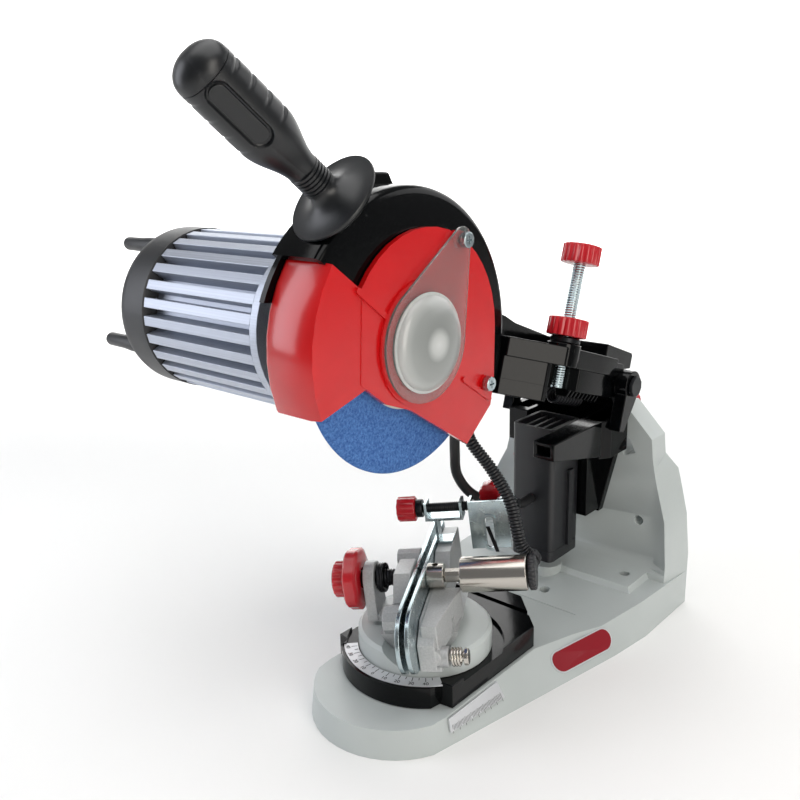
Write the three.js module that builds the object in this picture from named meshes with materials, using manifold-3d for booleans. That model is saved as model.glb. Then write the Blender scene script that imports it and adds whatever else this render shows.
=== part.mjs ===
// Electric bench grinder for saw chain, as an assembly of its separate pieces.
// Millimetres, +Z up. The origin is on the bench, on the axis of the vise turntable.
// +X is the side of the clamp cylinder, +Y points to the upright wall, -X carries the motor.
import * as THREE from 'three';
import { mergeVertices } from 'three/addons/utils/BufferGeometryUtils.js';
import Module from 'manifold-3d';

const wasm = await Module();
wasm.setup();

// General clearances
const gap = 0.3;
const cutOver = 4;
const softEdge = 0.4;

// Base casting
const noseRadius = 50;
const noseCentreY = -26;
const deckNoseRadius = 48;
const deckHeight = 17;
const deckHalfWidth = 44.5;
const deckFlareY = 50;
const noseCornerDegrees = -26;
const flareMidY = 79;
const flareMidHalfWidth = 54;
const flareMidHeight = 17;
const flankKneeHeight = 17.2;
const baseHalfWidth = 77.7;
const baseKneeY = 120.3;
const wallRearY = 190;
const wallFrontY = 171;
const deckRearHeight = 24;
const flankKneeY = 98;
const flankKneeHalfWidth = 63;
const flankTopHalfWidth = 74;
const flankTopY = 131;
const flankRimY = 162;
const platformHeight = 28;
const platformFrontY = 136;
const platformHalfWidth = 61;
const platformSlope = 5;
const wallFillet = 9;
const wallFootHalfWidth = 62;
const wallTopHeight = 141;
const wallHoleOffsetX = 49;
const wallHoleHeight = 60.5;
const screwHoleRadius = 3.5;
const floorHoleX = 50;
const floorHoleY = 152;
const deckHoleX = 12;
const deckHoleY = 112;
const padRadius = 10.5;
const padHeight = 1.6;
const padY = 133;

// Ruler scale on the right flank
const rulerStartY = -36;
const rulerLength = 44;
const rulerThickness = 1;
const rulerLowShare = 0.46;
const rulerHighShare = 0.94;
const rulerStandoff = 0.5;

// Carriage and dial
const carriageLift = 0.3;
const carriageTop = 31.3;
const slideTravel = 22;
const carriageHalfWidth = 43;
const carriageRadius = 50;
const carriageSideRearY = 51;
const carriageTailY = 77.5;
const carriageTailHalfWidth = 16;
const earStartX = 34;
const earFrontY = -30;
const rimStepDown = 1.2;
const dialRecess = 2.2;
const dialOuterRadius = 46.5;
const dialInnerRadius = 41.2;
const dialThickness = 1.1;
const dialStartDegrees = -134;
const dialEndDegrees = -40;
const carriageGrooveY = 60;
const carriageGrooveWidth = 4;
const carriageGrooveDepth = 2.5;

// Turntable drum
const drumRadius = 39.5;
const drumTop = 43;
const drumEdge = 2;
const pivotBoltRadius = 5;
const pivotBoltHead = 3;

// Vise: the cradle axis runs along the rails
const viseTurnDegrees = 30;
const viseTiltDegrees = 6.5;
const cradleHeight = 58;
const cradleRadius = 24;
const clampHeight = 13.8;
const railTop = 19;
const railBottom = -8;
const railNoseRadius = 18.5;
const railNoseY = -47;
const railRearY = 68;
const railThickness = 2.5;
const chainGap = 2.6;
const jawThickness = 9.5;
const jawFrontY = -50;
const jawRearY = 62;
const jawBottom = -15;
const jawSaddleTop = 6;
const jawCreaseY = 26;
const jawNearTop = -2;
const jawFoot = 21;
const lugOuterX = -33;
const lugThickness = 6.5;
const lugHalfWidth = 11;
const lugTop = 24;
const lugBottom = -8.5;
const lugHoleRadius = 6.4;
const lugFootReach = 21;
const movingJawThickness = 10;
const movingJawHalfLength = 19;
const movingJawTop = 20.5;
const movingJawBottom = -7.5;
const bossRadius = 8;
const bossY = -26;
const bossLength = 14;
const farBossY = 24;
const clampScrewRadius = 5;
const clampReserve = 1.6;
const clampScrewReach = 22.5;
const clampSpringRadius = 7.8;
const clampSpringWire = 1.3;
const clampSpringLength = 5.8;
const knobFlangeRadius = 18.5;
const knobFlangeThickness = 8.5;
const knobLobeDepth = 2.4;
const knobLobes = 7;
const knobHubRadius = 10.8;
const knobHubLength = 8;
const collarRadius = 7.2;
const collarLength = 9.9;
const setScrewRadius = 2;
const rodRadius = 4.2;
const rodLength = 9.4;
const cylinderRadius = 10.2;
const cylinderLength = 38;
const fittingLength = 4.6;
const fittingRadius = 9.4;
const guideScrewY = -43;
const guideScrewHeight = -13;
const guideScrewLength = 7;
const guideScrewRadius = 2.4;
const guideScrewHead = 4.6;
const guideSpringRadius = 4.4;
const guideSpringWire = 1.1;

// Chain stop
const stopY = 42;
const stopHeight = 38.9;
const stopShaftRadius = 3.1;
const stopShaftStart = -7;
const stopShaftEnd = 57;
const stopKnobRadius = 7.8;
const stopKnobLength = 11.5;
const stopCollarRadius = 5.6;
const stopCollarLength = 4;
const stopBracketStart = -1.5;
const stopBracketEnd = 22;
const stopBracketWidth = 11;
const stopBracketFloor = 32;
const stopBracketTop = 43.5;
const stopSheet = 1.6;
const stopPlateStart = 26;
const stopPlateEnd = 50;
const stopPlateBottom = 13.5;
const stopPlateTop = 44;
const stopSlotWidth = 5;
const stopSlotLength = 20;
const nutRadius = 5.4;
const nutLength = 4.6;
const pawlWidth = 2.2;
const pawlThickness = 1;
const backKnobRadius = 7.5;
const backKnobLength = 8;
const backKnobX = 39;

// Head bracket that tilts on the wall
const tiltHeight = 90;
const tiltPinRadius = 7;
const tiltStudX = 19;
const tiltStudHeight = 129;
const tiltStudRadius = 4;
const tiltTravelDegrees = 35;
const lockKnobRadius = 16.5;
const lockKnobThickness = 10;
const bracketThickness = 6;
const bracketHalfWidth = 33;
const bracketBottom = 62;
const bracketTop = 147;
const hingeY = 160;
const hingeHeight = 157.9;
const hingeLugOuterX = 46;
const hingeLugThickness = 7;
const hingeLugRadius = 10;
const hingePinRadius = 5;
const hingePinHead = 7;
const lugFootDrop = 24;
const wedgeInnerX = 19;
const wedgeOuterX = 34;
const wedgeMouthY = 84;
const wedgeTop = 136;
const wedgeMouthHeight = 11;
const wedgeRearBottom = 110;
const wedgeRearY = 148;
const wedgeWall = 2.6;
const wedgeSocketDepth = 9;
const leftWedgeMouthY = 104;

// Tall electrics box in front of the bracket
const boxHalfWidth = 16;
const boxFrontY = 112;
const boxRearY = 147;
const boxBottom = 40;
const boxTop = 134;
const boxWall = 2.4;
const boxCorner = 4;
const boxRidgeDepth = 2.2;
const boxRidgeWidth = 6;
const boxRidgeY = 133;
const boxMouthDepth = 16;
const boxRibThickness = 2;
const boxSeam = 8;
const boxSupportHalfWidth = 10;
const rockerWidth = 13;
const rockerHeight = 21;
const rockerThickness = 4;
const rockerZ = 100;

// Swing arm, drawn level in its own frame and pitched down to the rear
const armPitchDegrees = 18;
const armHalfWidth = 30;
const armWall = 4;
const armTop = 15.3;
const armLeftTop = 22;
const armWebTop = -4;
const armBottom = -20;
const armFrontY = -122;
const armNeckY = -34;
const armBarrelRadius = 9.4;
const armBellyFrontY = -112;
const armBellyRearY = -56;
const screwLineX = 26.5;
const screwBossY = -63;
const screwBossRadius = 9.5;
const screwBossHeight = 9;
const depthScrewRadius = 3.9;
const depthScrewBelow = 16;
const depthScrewAbove = 66;
const lockNutRadius = 13.2;
const lockNutHeight = 11.5;
const depthKnobRadius = 13;
const depthKnobHeight = 12;
const knurlDepth = 0.9;
const knurlCount = 18;
const returnSpringRadius = 4.6;
const returnSpringWire = 1.2;
const returnSpringLength = 34;

// Grinding wheel and its seat
const wheelY = -11.5;
const wheelHeight = 214.8;
const wheelRadius = 72.5;
const wheelThickness = 4.7;
const wheelBore = 11.1;
const flangeRadius = 23;
const flangeThickness = 5;
const spindleRadius = 6;
const spindleNutRadius = 11;
const spindleNutLength = 4.5;

// Guard housing and red cover
const guardY = -13.7;
const guardHeight = 210.7;
const guardRadius = 83.9;
const guardWall = 3.4;
const guardBackX = -25;
const guardFrontX = 7;
const guardStartDegrees = 138;
const guardEndDegrees = -22;
const guardLipCover = 6;
const coverFaceX = 11;
const coverSheet = 3;
const coverRadius = 60;
const coverCentreY = -5.5;
const coverCentreHeight = 213.3;
const hoodLeftX = -21.3;
const hoodFrontY = -89;
const hoodWall = 2.8;
const hoodRadius = 78.4;
const hoodTopDegrees = 142;
const hoodBottomDegrees = 199;
const hubCoverRadius = 32;
const hubCoverCentreY = -10;
const hubCoverCentreHeight = 214.3;
const hubCoverTipY = 20.5;
const hubCoverTipHeight = 264.5;
const hubCoverTipRadius = 7;
const hubCoverSheet = 1.8;
const hubCoverStandoff = 1.4;
const domeRadius = 25.5;
const domeHeight = 8;
const hubRimRadius = 34;
const hubRimHeight = 1.6;
const barWidth = 3.2;
const barHeight = 1.2;
const coverScrewRadius = 4.4;
const coverScrewLength = 4;
const lowerScrewY = 44;
const lowerScrewHeight = 180.5;

// Motor
const motorNearX = -60;
const motorFarX = -166;
const motorCoreRadius = 41;
const finCount = 28;
const finTipRadius = 50.5;
const finWidth = 6;
const motorRingRadius = 51;
const motorRingLength = 6;
const mountPlateThickness = 8;
const capSkirtRadius = 51;
const capLength = 20;
const capDomeLength = 16;
const pegRadius = 4.4;
const pegLength = 21;
const pegRingRadius = 45;
const pegStartDegrees = 26;
const motorBellRadius = 44;

// Handle
const bellX = -3;
const bellY = -56;
const bellHeight = 290;
const handleTipX = -10;
const handleTipY = -122;
const handleTipHeight = 346.5;
const bellRadius = 24.5;
const gripRadius = 11.5;
const neckRadius = 7.4;
const neckRings = 4;
const capBallRadius = 11.6;
const bellDepth = 17;
const neckLength = 13;
const gripWave = 0.8;
const bellBossRadius = 9;

// Facet counts
const roundSides = 24;
const smallSides = 10;
const arcSteps = 8;

const radians = THREE.MathUtils.degToRad;

// Materials
const paint = (color, roughness, metalness) =>
  new THREE.MeshStandardMaterial({ color, roughness, metalness });
const paleGrey = paint('#cdd2d1', 0.42, 0.1);
const glossBlack = paint('#141517', 0.18, 0);
const satinBlack = paint('#1b1c1e', 0.45, 0);
const red = paint('#d0121b', 0.3, 0);
const blueGrit = paint('#3f6ab4', 0.9, 0);
const zinc = paint('#b9c4ca', 0.25, 1);
const steel = paint('#c2bdb4', 0.22, 1);
const aluminium = paint('#a9adb3', 0.38, 0.9);
const castAlloy = paint('#c3c5c6', 0.45, 0.4);
const dialWhite = paint('#dfe1e0', 0.4, 0.2);
const clearPlastic = paint('#e9eff0', 0.15, 0);

// A closed three.js geometry as a solid that can be joined and cut
function solid(geometry) {
  const bare = geometry.clone();
  bare.deleteAttribute('normal');
  bare.deleteAttribute('uv');
  const merged = mergeVertices(bare, 1e-4);
  const spots = merged.attributes.position.array;
  const corners = merged.index.array;
  const kept = [];
  const a = new THREE.Vector3();
  const b = new THREE.Vector3();
  const c = new THREE.Vector3();
  let volume = 0;
  for (let i = 0; i < corners.length; i += 3) {
    const [p, q, r] = [corners[i], corners[i + 1], corners[i + 2]];
    if (p === q || q === r || r === p) continue;
    kept.push(p, q, r);
    volume += a.fromArray(spots, 3 * p).dot(b.fromArray(spots, 3 * q).cross(c.fromArray(spots, 3 * r)));
  }
  if (volume < 0) kept.reverse();
  return new wasm.Manifold(new wasm.Mesh({
    numProp: 3, vertProperties: Float32Array.from(spots), triVerts: Uint32Array.from(kept),
  }));
}

function joined(...pieces) {
  return pieces.reduce((whole, piece) => whole.add(piece));
}

function cut(whole, ...tools) {
  return tools.reduce((left, tool) => left.subtract(tool), whole);
}

// The boolean result as a three.js mesh in its group
function show(group, name, piece, material) {
  const data = piece.getMesh();
  const geometry = new THREE.BufferGeometry();
  geometry.setAttribute('position', new THREE.BufferAttribute(Float32Array.from(data.vertProperties), 3));
  geometry.setIndex(new THREE.BufferAttribute(Uint32Array.from(data.triVerts), 1));
  geometry.computeVertexNormals();
  const mesh = new THREE.Mesh(geometry, material);
  mesh.name = name;
  group.add(mesh);
  return mesh;
}

// Moves and turns a geometry before it becomes a solid
function placed(geometry, x, y, z, turnX = 0, turnY = 0, turnZ = 0) {
  const matrix = new THREE.Matrix4().makeRotationFromEuler(new THREE.Euler(turnX, turnY, turnZ));
  matrix.setPosition(x, y, z);
  return geometry.applyMatrix4(matrix);
}

// A block between two corners
function block(x0, x1, y0, y1, z0, z1) {
  const geometry = new THREE.BoxGeometry(x1 - x0, y1 - y0, z1 - z0);
  return solid(placed(geometry, (x0 + x1) / 2, (y0 + y1) / 2, (z0 + z1) / 2));
}

// Maps a drawing plane (u, v) and its depth w to the axes of the object
const planeAxes = {
  x: [[0, 1, 0], [0, 0, 1], [1, 0, 0]],
  y: [[1, 0, 0], [0, 0, 1], [0, 1, 0]],
  z: [[1, 0, 0], [0, 1, 0], [0, 0, 1]],
};

function onAxis(geometry, axis) {
  const [u, v, w] = planeAxes[axis].map((e) => new THREE.Vector3(...e));
  return geometry.applyMatrix4(new THREE.Matrix4().makeBasis(u, v, w));
}

// An outline extruded along an axis from one place to another
function prism(axis, points, from, to, edge = 0) {
  const shape = new THREE.Shape(points.map(([u, v]) => new THREE.Vector2(u, v)));
  const geometry = new THREE.ExtrudeGeometry(shape, {
    depth: to - from - 2 * edge,
    bevelEnabled: edge > 0,
    bevelThickness: edge,
    bevelSize: edge,
    bevelOffset: -edge,
    bevelSegments: 1,
  });
  geometry.translate(0, 0, from + edge);
  return solid(onAxis(geometry, axis));
}

// A profile of [radius, place] turned about a line parallel to an axis
function turned(axis, profile, centreU = 0, centreV = 0, sides = roundSides) {
  const points = profile.map(([r, h]) => new THREE.Vector2(r, h));
  const geometry = new THREE.LatheGeometry(points, sides);
  geometry.applyMatrix4(new THREE.Matrix4().makeRotationX(Math.PI / 2));
  geometry.translate(centreU, centreV, 0);
  return solid(onAxis(geometry, axis));
}

function rod(axis, radius, from, to, centreU = 0, centreV = 0, sides = roundSides) {
  return turned(axis, [[0, from], [radius, from], [radius, to], [0, to]], centreU, centreV, sides);
}

// A rod with both rims chamfered
function softRod(axis, radius, from, to, edge, centreU = 0, centreV = 0, sides = roundSides) {
  return turned(axis, [
    [0, from], [radius - edge, from], [radius, from + edge],
    [radius, to - edge], [radius - edge, to], [0, to],
  ], centreU, centreV, sides);
}

function ring(axis, outer, inner, from, to, centreU = 0, centreV = 0, sides = roundSides) {
  return turned(axis, [[inner, from], [outer, from], [outer, to], [inner, to], [inner, from]],
    centreU, centreV, sides);
}

function arc(centreU, centreV, radius, fromDegrees, toDegrees, steps = arcSteps) {
  return Array.from({ length: steps + 1 }, (_, i) => {
    const angle = radians(fromDegrees + ((toDegrees - fromDegrees) * i) / steps);
    return [centreU + radius * Math.cos(angle), centreV + radius * Math.sin(angle)];
  });
}

// A rounded rectangle centred on a point
function roundedBox(centreU, centreV, halfU, halfV, radius, steps = 4) {
  const corner = (su, sv, start) =>
    arc(centreU + su * (halfU - radius), centreV + sv * (halfV - radius), radius, start, start + 90, steps);
  return [...corner(1, 1, 0), ...corner(-1, 1, 90), ...corner(-1, -1, 180), ...corner(1, -1, 270)];
}

// The outline of a rope pulled tight round two circles
function tear(u0, v0, r0, u1, v1, r1, steps = arcSteps) {
  const length = Math.hypot(u1 - u0, v1 - v0);
  const heading = THREE.MathUtils.radToDeg(Math.atan2(v1 - v0, u1 - u0));
  const lean = THREE.MathUtils.radToDeg(Math.acos((r0 - r1) / length));
  return [
    ...arc(u1, v1, r1, heading - lean, heading + lean, steps),
    ...arc(u0, v0, r0, heading + lean, heading + 360 - lean, steps),
  ];
}

// A closed skin through rings of equal point counts, with both ends closed by fans
function lofted(rings, closeStart = true) {
  const spots = rings.flat(2);
  const count = rings[0].length;
  const faces = [];
  for (let level = 0; level + 1 < rings.length; level += 1) {
    for (let i = 0; i < count; i += 1) {
      const j = (i + 1) % count;
      const [a, b, c, d] = [level * count + i, level * count + j, (level + 1) * count + j, (level + 1) * count + i];
      faces.push(a, b, c, a, c, d);
    }
  }
  const last = (rings.length - 1) * count;
  for (let i = 1; i + 1 < count; i += 1) {
    faces.push(0, i + 1, i, last, last + i, last + i + 1);
  }
  const geometry = new THREE.BufferGeometry();
  geometry.setAttribute('position', new THREE.BufferAttribute(new Float32Array(spots), 3));
  geometry.setIndex(faces);
  return solid(geometry);
}

// A loft that is the same on both sides: each level lists its right half from front to rear
function mirroredLoft(levels) {
  const spots = levels.flatMap((half) => [...half, ...half.map(([x, y, z]) => [-x, y, z])]).flat();
  const count = levels[0].length;
  const right = (level, i) => level * 2 * count + i;
  const left = (level, i) => right(level, i) + count;
  const faces = [];
  const quad = (a, b, c, d) => faces.push(a, b, c, a, c, d);
  levels.slice(1).forEach((_, level) => {
    for (let i = 0; i + 1 < count; i += 1) {
      quad(right(level, i), right(level, i + 1), right(level + 1, i + 1), right(level + 1, i));
      quad(left(level, i + 1), left(level, i), left(level + 1, i), left(level + 1, i + 1));
    }
    quad(right(level, count - 1), left(level, count - 1), left(level + 1, count - 1), right(level + 1, count - 1));
    quad(left(level, 0), right(level, 0), right(level + 1, 0), left(level + 1, 0));
  });
  const top = levels.length - 1;
  for (let i = 0; i + 1 < count; i += 1) {
    quad(left(0, i), left(0, i + 1), right(0, i + 1), right(0, i));
    quad(right(top, i), right(top, i + 1), left(top, i + 1), left(top, i));
  }
  const geometry = new THREE.BufferGeometry();
  geometry.setAttribute('position', new THREE.BufferAttribute(new Float32Array(spots), 3));
  geometry.setIndex(faces);
  return solid(geometry);
}

// A round tube swept along a smooth route
function tube(route, radius, steps, sides = 10) {
  const shape = new THREE.Shape(arc(0, 0, radius, 0, 360, sides).slice(0, -1).map(([u, v]) => new THREE.Vector2(u, v)));
  const path = new THREE.CatmullRomCurve3(route.map((p) => new THREE.Vector3(...p)));
  return solid(new THREE.ExtrudeGeometry(shape, { extrudePath: path, steps, bevelEnabled: false }));
}

// A coil spring of round wire about an axis
function coil(axis, radius, wire, from, to, turns, centreU = 0, centreV = 0, sides = 5, perTurn = 11) {
  class Helix extends THREE.Curve {
    getPoint(t) {
      const angle = 2 * Math.PI * turns * t;
      return new THREE.Vector3(radius * Math.cos(angle), radius * Math.sin(angle), from + wire + (to - from - 2 * wire) * t);
    }
  }
  const shape = new THREE.Shape(arc(0, 0, wire, 0, 360, sides).slice(0, -1).map(([u, v]) => new THREE.Vector2(u, v)));
  const geometry = new THREE.ExtrudeGeometry(shape, {
    extrudePath: new Helix(), steps: Math.round(turns * perTurn), bevelEnabled: false,
  });
  geometry.translate(centreU, centreV, 0);
  return solid(onAxis(geometry, axis));
}

// A round knob with flutes round its rim
function fluted(axis, radius, depth, count, from, to, edge, centreU, centreV) {
  const points = Array.from({ length: 2 * count }, (_, i) => {
    const angle = (Math.PI * i) / count;
    const r = i % 2 ? radius - depth : radius;
    return [centreU + r * Math.cos(angle), centreV + r * Math.sin(angle)];
  });
  return prism(axis, points, from, to, edge);
}

// Six-sided nut
function nut(axis, radius, from, to, centreU, centreV) {
  return prism(axis, arc(centreU, centreV, radius, 0, 360, 6).slice(0, -1), from, to, softEdge);
}

const grinder = new THREE.Group();

// Base casting: deck loft, rear platform and the upright wall
const cornerY = noseCentreY + noseRadius * Math.sin(radians(noseCornerDegrees));
const cornerX = noseRadius * Math.cos(radians(noseCornerDegrees));
const flankX = (y) => cornerX + ((baseHalfWidth - cornerX) * (y - cornerY)) / (baseKneeY - cornerY);
const noseSteps = 8;
const shoulder = [1, 2].map((i) => [deckHalfWidth, cornerY + ((noseCentreY - cornerY) * i) / 2]);
const deckStationCount = 5;
const deckStations = Array.from({ length: deckStationCount }, (_, i) =>
  noseCentreY + ((deckFlareY - noseCentreY) * (i + 1)) / deckStationCount);
const deckLoft = mirroredLoft([
  [
    ...arc(0, noseCentreY, noseRadius, -90, noseCornerDegrees, noseSteps).map(([x, y]) => [x, y, 0]),
    ...[...shoulder.map(([, y]) => y), ...deckStations, flareMidY, flankKneeY].map((y) => [flankX(y), y, 0]),
    [baseHalfWidth, flankTopY, 0],
    [baseHalfWidth, wallRearY, 0],
  ],
  [
    ...arc(0, noseCentreY, deckNoseRadius, -90, noseCornerDegrees, noseSteps).map(([x, y]) => [x, y, deckHeight]),
    ...shoulder.map(([x, y]) => [x, y, deckHeight]),
    ...deckStations.map((y) => [deckHalfWidth, y, deckHeight]),
    [flareMidHalfWidth, flareMidY, flareMidHeight],
    [flankKneeHalfWidth, flankKneeY, flankKneeHeight],
    [flankTopHalfWidth, flankTopY, deckRearHeight],
    [baseHalfWidth, wallRearY, deckRearHeight],
  ],
]);
const platform = mirroredLoft([
  [[platformHalfWidth + platformSlope, platformFrontY - platformSlope, flareMidHeight],
    [platformHalfWidth + platformSlope, wallRearY - platformSlope, flareMidHeight]],
  [[platformHalfWidth, platformFrontY, platformHeight],
    [platformHalfWidth, wallRearY - platformSlope, platformHeight]],
]);

// Levels of the wall: height, front half width, outer rim half width, how far the rim stands
// forward of the front face, rear half width
const wallLevels = [
  [flareMidHeight, wallFootHalfWidth, flankTopHalfWidth, wallFrontY - flankRimY, baseHalfWidth],
  [66, 60, 70.5, 6, 75],
  [90, 58.5, 60.5, 0.1, 69],
  [97.4, 58, 58.8, 0.1, 66.9],
  [106.2, 56.8, 57, 0.1, 57.2],
  [120, 55.6, 55.7, 0.1, 55.8],
  [wallTopHeight, 35.2, 35.3, 0.1, 35.5],
];
const filletTurns = [0, 30, 60, 90];
function wallRing(height, front, rim, forward, rear, faceY) {
  return [[front, faceY, height], [rim, Math.min(faceY + gap, wallFrontY - forward), height], [rear, wallRearY, height]];
}
const footRings = filletTurns.map((turn) => {
  const height = platformHeight + wallFillet * (1 - Math.cos(radians(turn)));
  const [, front, rim, forward, rear] = wallLevels[0];
  return wallRing(height, front, rim, forward, rear, wallFrontY - wallFillet * (1 - Math.sin(radians(turn))));
});
const wall = mirroredLoft([
  wallRing(...wallLevels[0], wallFrontY - wallFillet),
  ...footRings,
  ...wallLevels.slice(1).map((level) => wallRing(...level, wallFrontY)),
]);
const slotRadius = Math.hypot(tiltStudX, tiltStudHeight - tiltHeight);
const slotStart = THREE.MathUtils.radToDeg(Math.atan2(tiltStudHeight - tiltHeight, tiltStudX));
const slotHalf = tiltStudRadius + 2 * gap;
const slotMargin = THREE.MathUtils.radToDeg(Math.asin((slotHalf + gap) / slotRadius));
const slotOutline = [
  ...arc(0, tiltHeight, slotRadius + slotHalf, slotStart + slotMargin, slotStart - tiltTravelDegrees - slotMargin),
  ...arc(0, tiltHeight, slotRadius - slotHalf, slotStart - tiltTravelDegrees - slotMargin, slotStart + slotMargin),
];
const throughWall = [wallFrontY - 2 * wallFillet, wallRearY + cutOver];
const floorHoles = [-1, 1].flatMap((side) => [[side * floorHoleX, floorHoleY], [side * deckHoleX, deckHoleY]]);
const baseCasting = cut(
  joined(deckLoft, platform, wall, softRod('z', padRadius, flareMidHeight, platformHeight + padHeight, softEdge, 0, padY)),
  block(-carriageHalfWidth - gap, carriageHalfWidth + gap, deckFlareY - slideTravel, carriageTailY + slideTravel + gap, deckHeight, deckRearHeight),
  prism('y', slotOutline, ...throughWall),
  rod('y', tiltPinRadius + gap, ...throughWall, 0, tiltHeight, smallSides),
  ...[-1, 1].map((side) => rod('y', screwHoleRadius, ...throughWall, side * wallHoleOffsetX, wallHoleHeight, smallSides)),
  ...floorHoles.map(([x, y]) => rod('z', screwHoleRadius, -cutOver, platformHeight + cutOver, x, y, smallSides)),
);
show(grinder, 'base_casting', baseCasting, paleGrey);

// Ruler scale that follows the leaning right flank beside the carriage
const rulerSteps = 6;
const rulerRings = Array.from({ length: rulerSteps + 1 }, (_, i) => {
  const y = rulerStartY + (rulerLength * i) / rulerSteps;
  const lean = Math.atan2(flankX(y) - deckHalfWidth, deckHeight);
  const corner = (share, out) => [
    flankX(y) + (deckHalfWidth - flankX(y)) * share + out * Math.cos(lean),
    y,
    deckHeight * share + out * Math.sin(lean),
  ];
  return [
    corner(rulerLowShare, rulerStandoff), corner(rulerLowShare, rulerStandoff + rulerThickness),
    corner(rulerHighShare, rulerStandoff + rulerThickness), corner(rulerHighShare, rulerStandoff),
  ];
});
show(grinder, 'ruler_scale', lofted(rulerRings), zinc);

// Tilt pivot pin through the wall, its head behind it
const pinHeadRadius = tiltPinRadius + tiltStudRadius;
show(grinder, 'tilt_pivot_pin', joined(
  rod('y', tiltPinRadius, wallFrontY - gap, wallRearY + gap, 0, tiltHeight, smallSides),
  softRod('y', pinHeadRadius, wallRearY + gap, wallRearY + tiltStudRadius, softEdge, 0, tiltHeight, smallSides),
), zinc);

// Carriage: a black plate that slides along the deck, with the dial in its round recess
const carriage = new THREE.Group();
grinder.add(carriage);
const carriageBottom = deckHeight + carriageLift;
const carriageRight = [
  ...arc(0, 0, carriageRadius, -90, THREE.MathUtils.radToDeg(-Math.acos(earStartX / carriageRadius)), arcSteps),
  [earStartX + rimStepDown, earFrontY],
  [carriageHalfWidth, earFrontY + rimStepDown],
  [carriageHalfWidth, carriageSideRearY],
  [carriageTailHalfWidth, carriageTailY],
];
const mirrored = (half) => [...half, ...half.slice().reverse().filter(([x]) => Math.abs(x) > gap / 2).map(([x, y]) => [-x, y])];
const carriagePlate = cut(
  prism('z', mirrored(carriageRight), carriageBottom, carriageTop, softEdge),
  rod('z', dialOuterRadius + gap, carriageTop - dialRecess, carriageTop + cutOver, 0, 0, 2 * roundSides),
  prism('z', [...arc(0, 0, carriageRadius + rimStepDown, dialStartDegrees, dialEndDegrees, 2 * arcSteps),
    ...arc(0, 0, dialOuterRadius - gap, dialEndDegrees, dialStartDegrees, 2 * arcSteps)],
  carriageTop - rimStepDown, carriageTop + cutOver),
  block(-carriageHalfWidth - cutOver, carriageHalfWidth + cutOver, carriageGrooveY, carriageGrooveY + carriageGrooveWidth,
    carriageTop - carriageGrooveDepth, carriageTop + cutOver),
  rod('z', pivotBoltRadius + gap, carriageBottom - cutOver, carriageTop + cutOver, 0, 0, smallSides),
);
show(carriage, 'carriage_plate', carriagePlate, glossBlack);

// Dial: an arc of plate with the angle scale, sunk level with the rim
const dialBottom = carriageTop - dialRecess + gap;
show(carriage, 'dial_ring', prism('z', [
  ...arc(0, 0, dialOuterRadius, dialStartDegrees, dialEndDegrees, 2 * arcSteps),
  ...arc(0, 0, dialInnerRadius, dialEndDegrees, dialStartDegrees, 2 * arcSteps),
], dialBottom, dialBottom + dialThickness), dialWhite);

// Turntable: a round drum with the trough in which the vise tilts
const turntable = new THREE.Group();
turntable.rotation.z = radians(viseTurnDegrees);
carriage.add(turntable);
const drumBottom = carriageTop - dialRecess + gap;
const troughRun = drumRadius + cutOver;
show(turntable, 'turntable_drum', cut(
  turned('z', [
    [0, drumBottom], [drumRadius, drumBottom], [drumRadius, drumTop - drumEdge],
    [drumRadius - drumEdge, drumTop], [0, drumTop],
  ], 0, 0, 2 * roundSides),
  rod('y', cradleRadius + gap, -troughRun, troughRun, 0, cradleHeight, 2 * roundSides),
  rod('z', pivotBoltRadius + gap, drumBottom - cutOver, drumTop + cutOver, 0, 0, smallSides),
), paleGrey);

// Pivot screw that holds the drum on the carriage, sunk below the trough
const troughFloor = cradleHeight - cradleRadius - gap;
show(turntable, 'turntable_pivot', rod('z', pivotBoltRadius, carriageBottom + gap, troughFloor - gap, 0, 0, smallSides), steel);

// Vise: everything that tilts together in the trough
const vise = new THREE.Group();
vise.position.z = cradleHeight;
vise.rotation.y = -radians(viseTiltDegrees);
turntable.add(vise);

// The slot between the two rails is the middle of the vise
const railInner = chainGap / 2;
const railOuter = railInner + railThickness;
const jawInner = railOuter + gap;
const jawOuter = jawInner + jawThickness;
const rockerHalf = Math.sqrt(drumRadius ** 2 - cradleRadius ** 2) - 1.5 * cutOver;
const rockerTop = lugBottom;
const cradleBlock = joined(rod('y', cradleRadius, -rockerHalf, rockerHalf, 0, 0, 2 * roundSides))
  .intersect(block(-cradleRadius, cradleRadius, -rockerHalf, rockerHalf, -cradleRadius, rockerTop));

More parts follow.
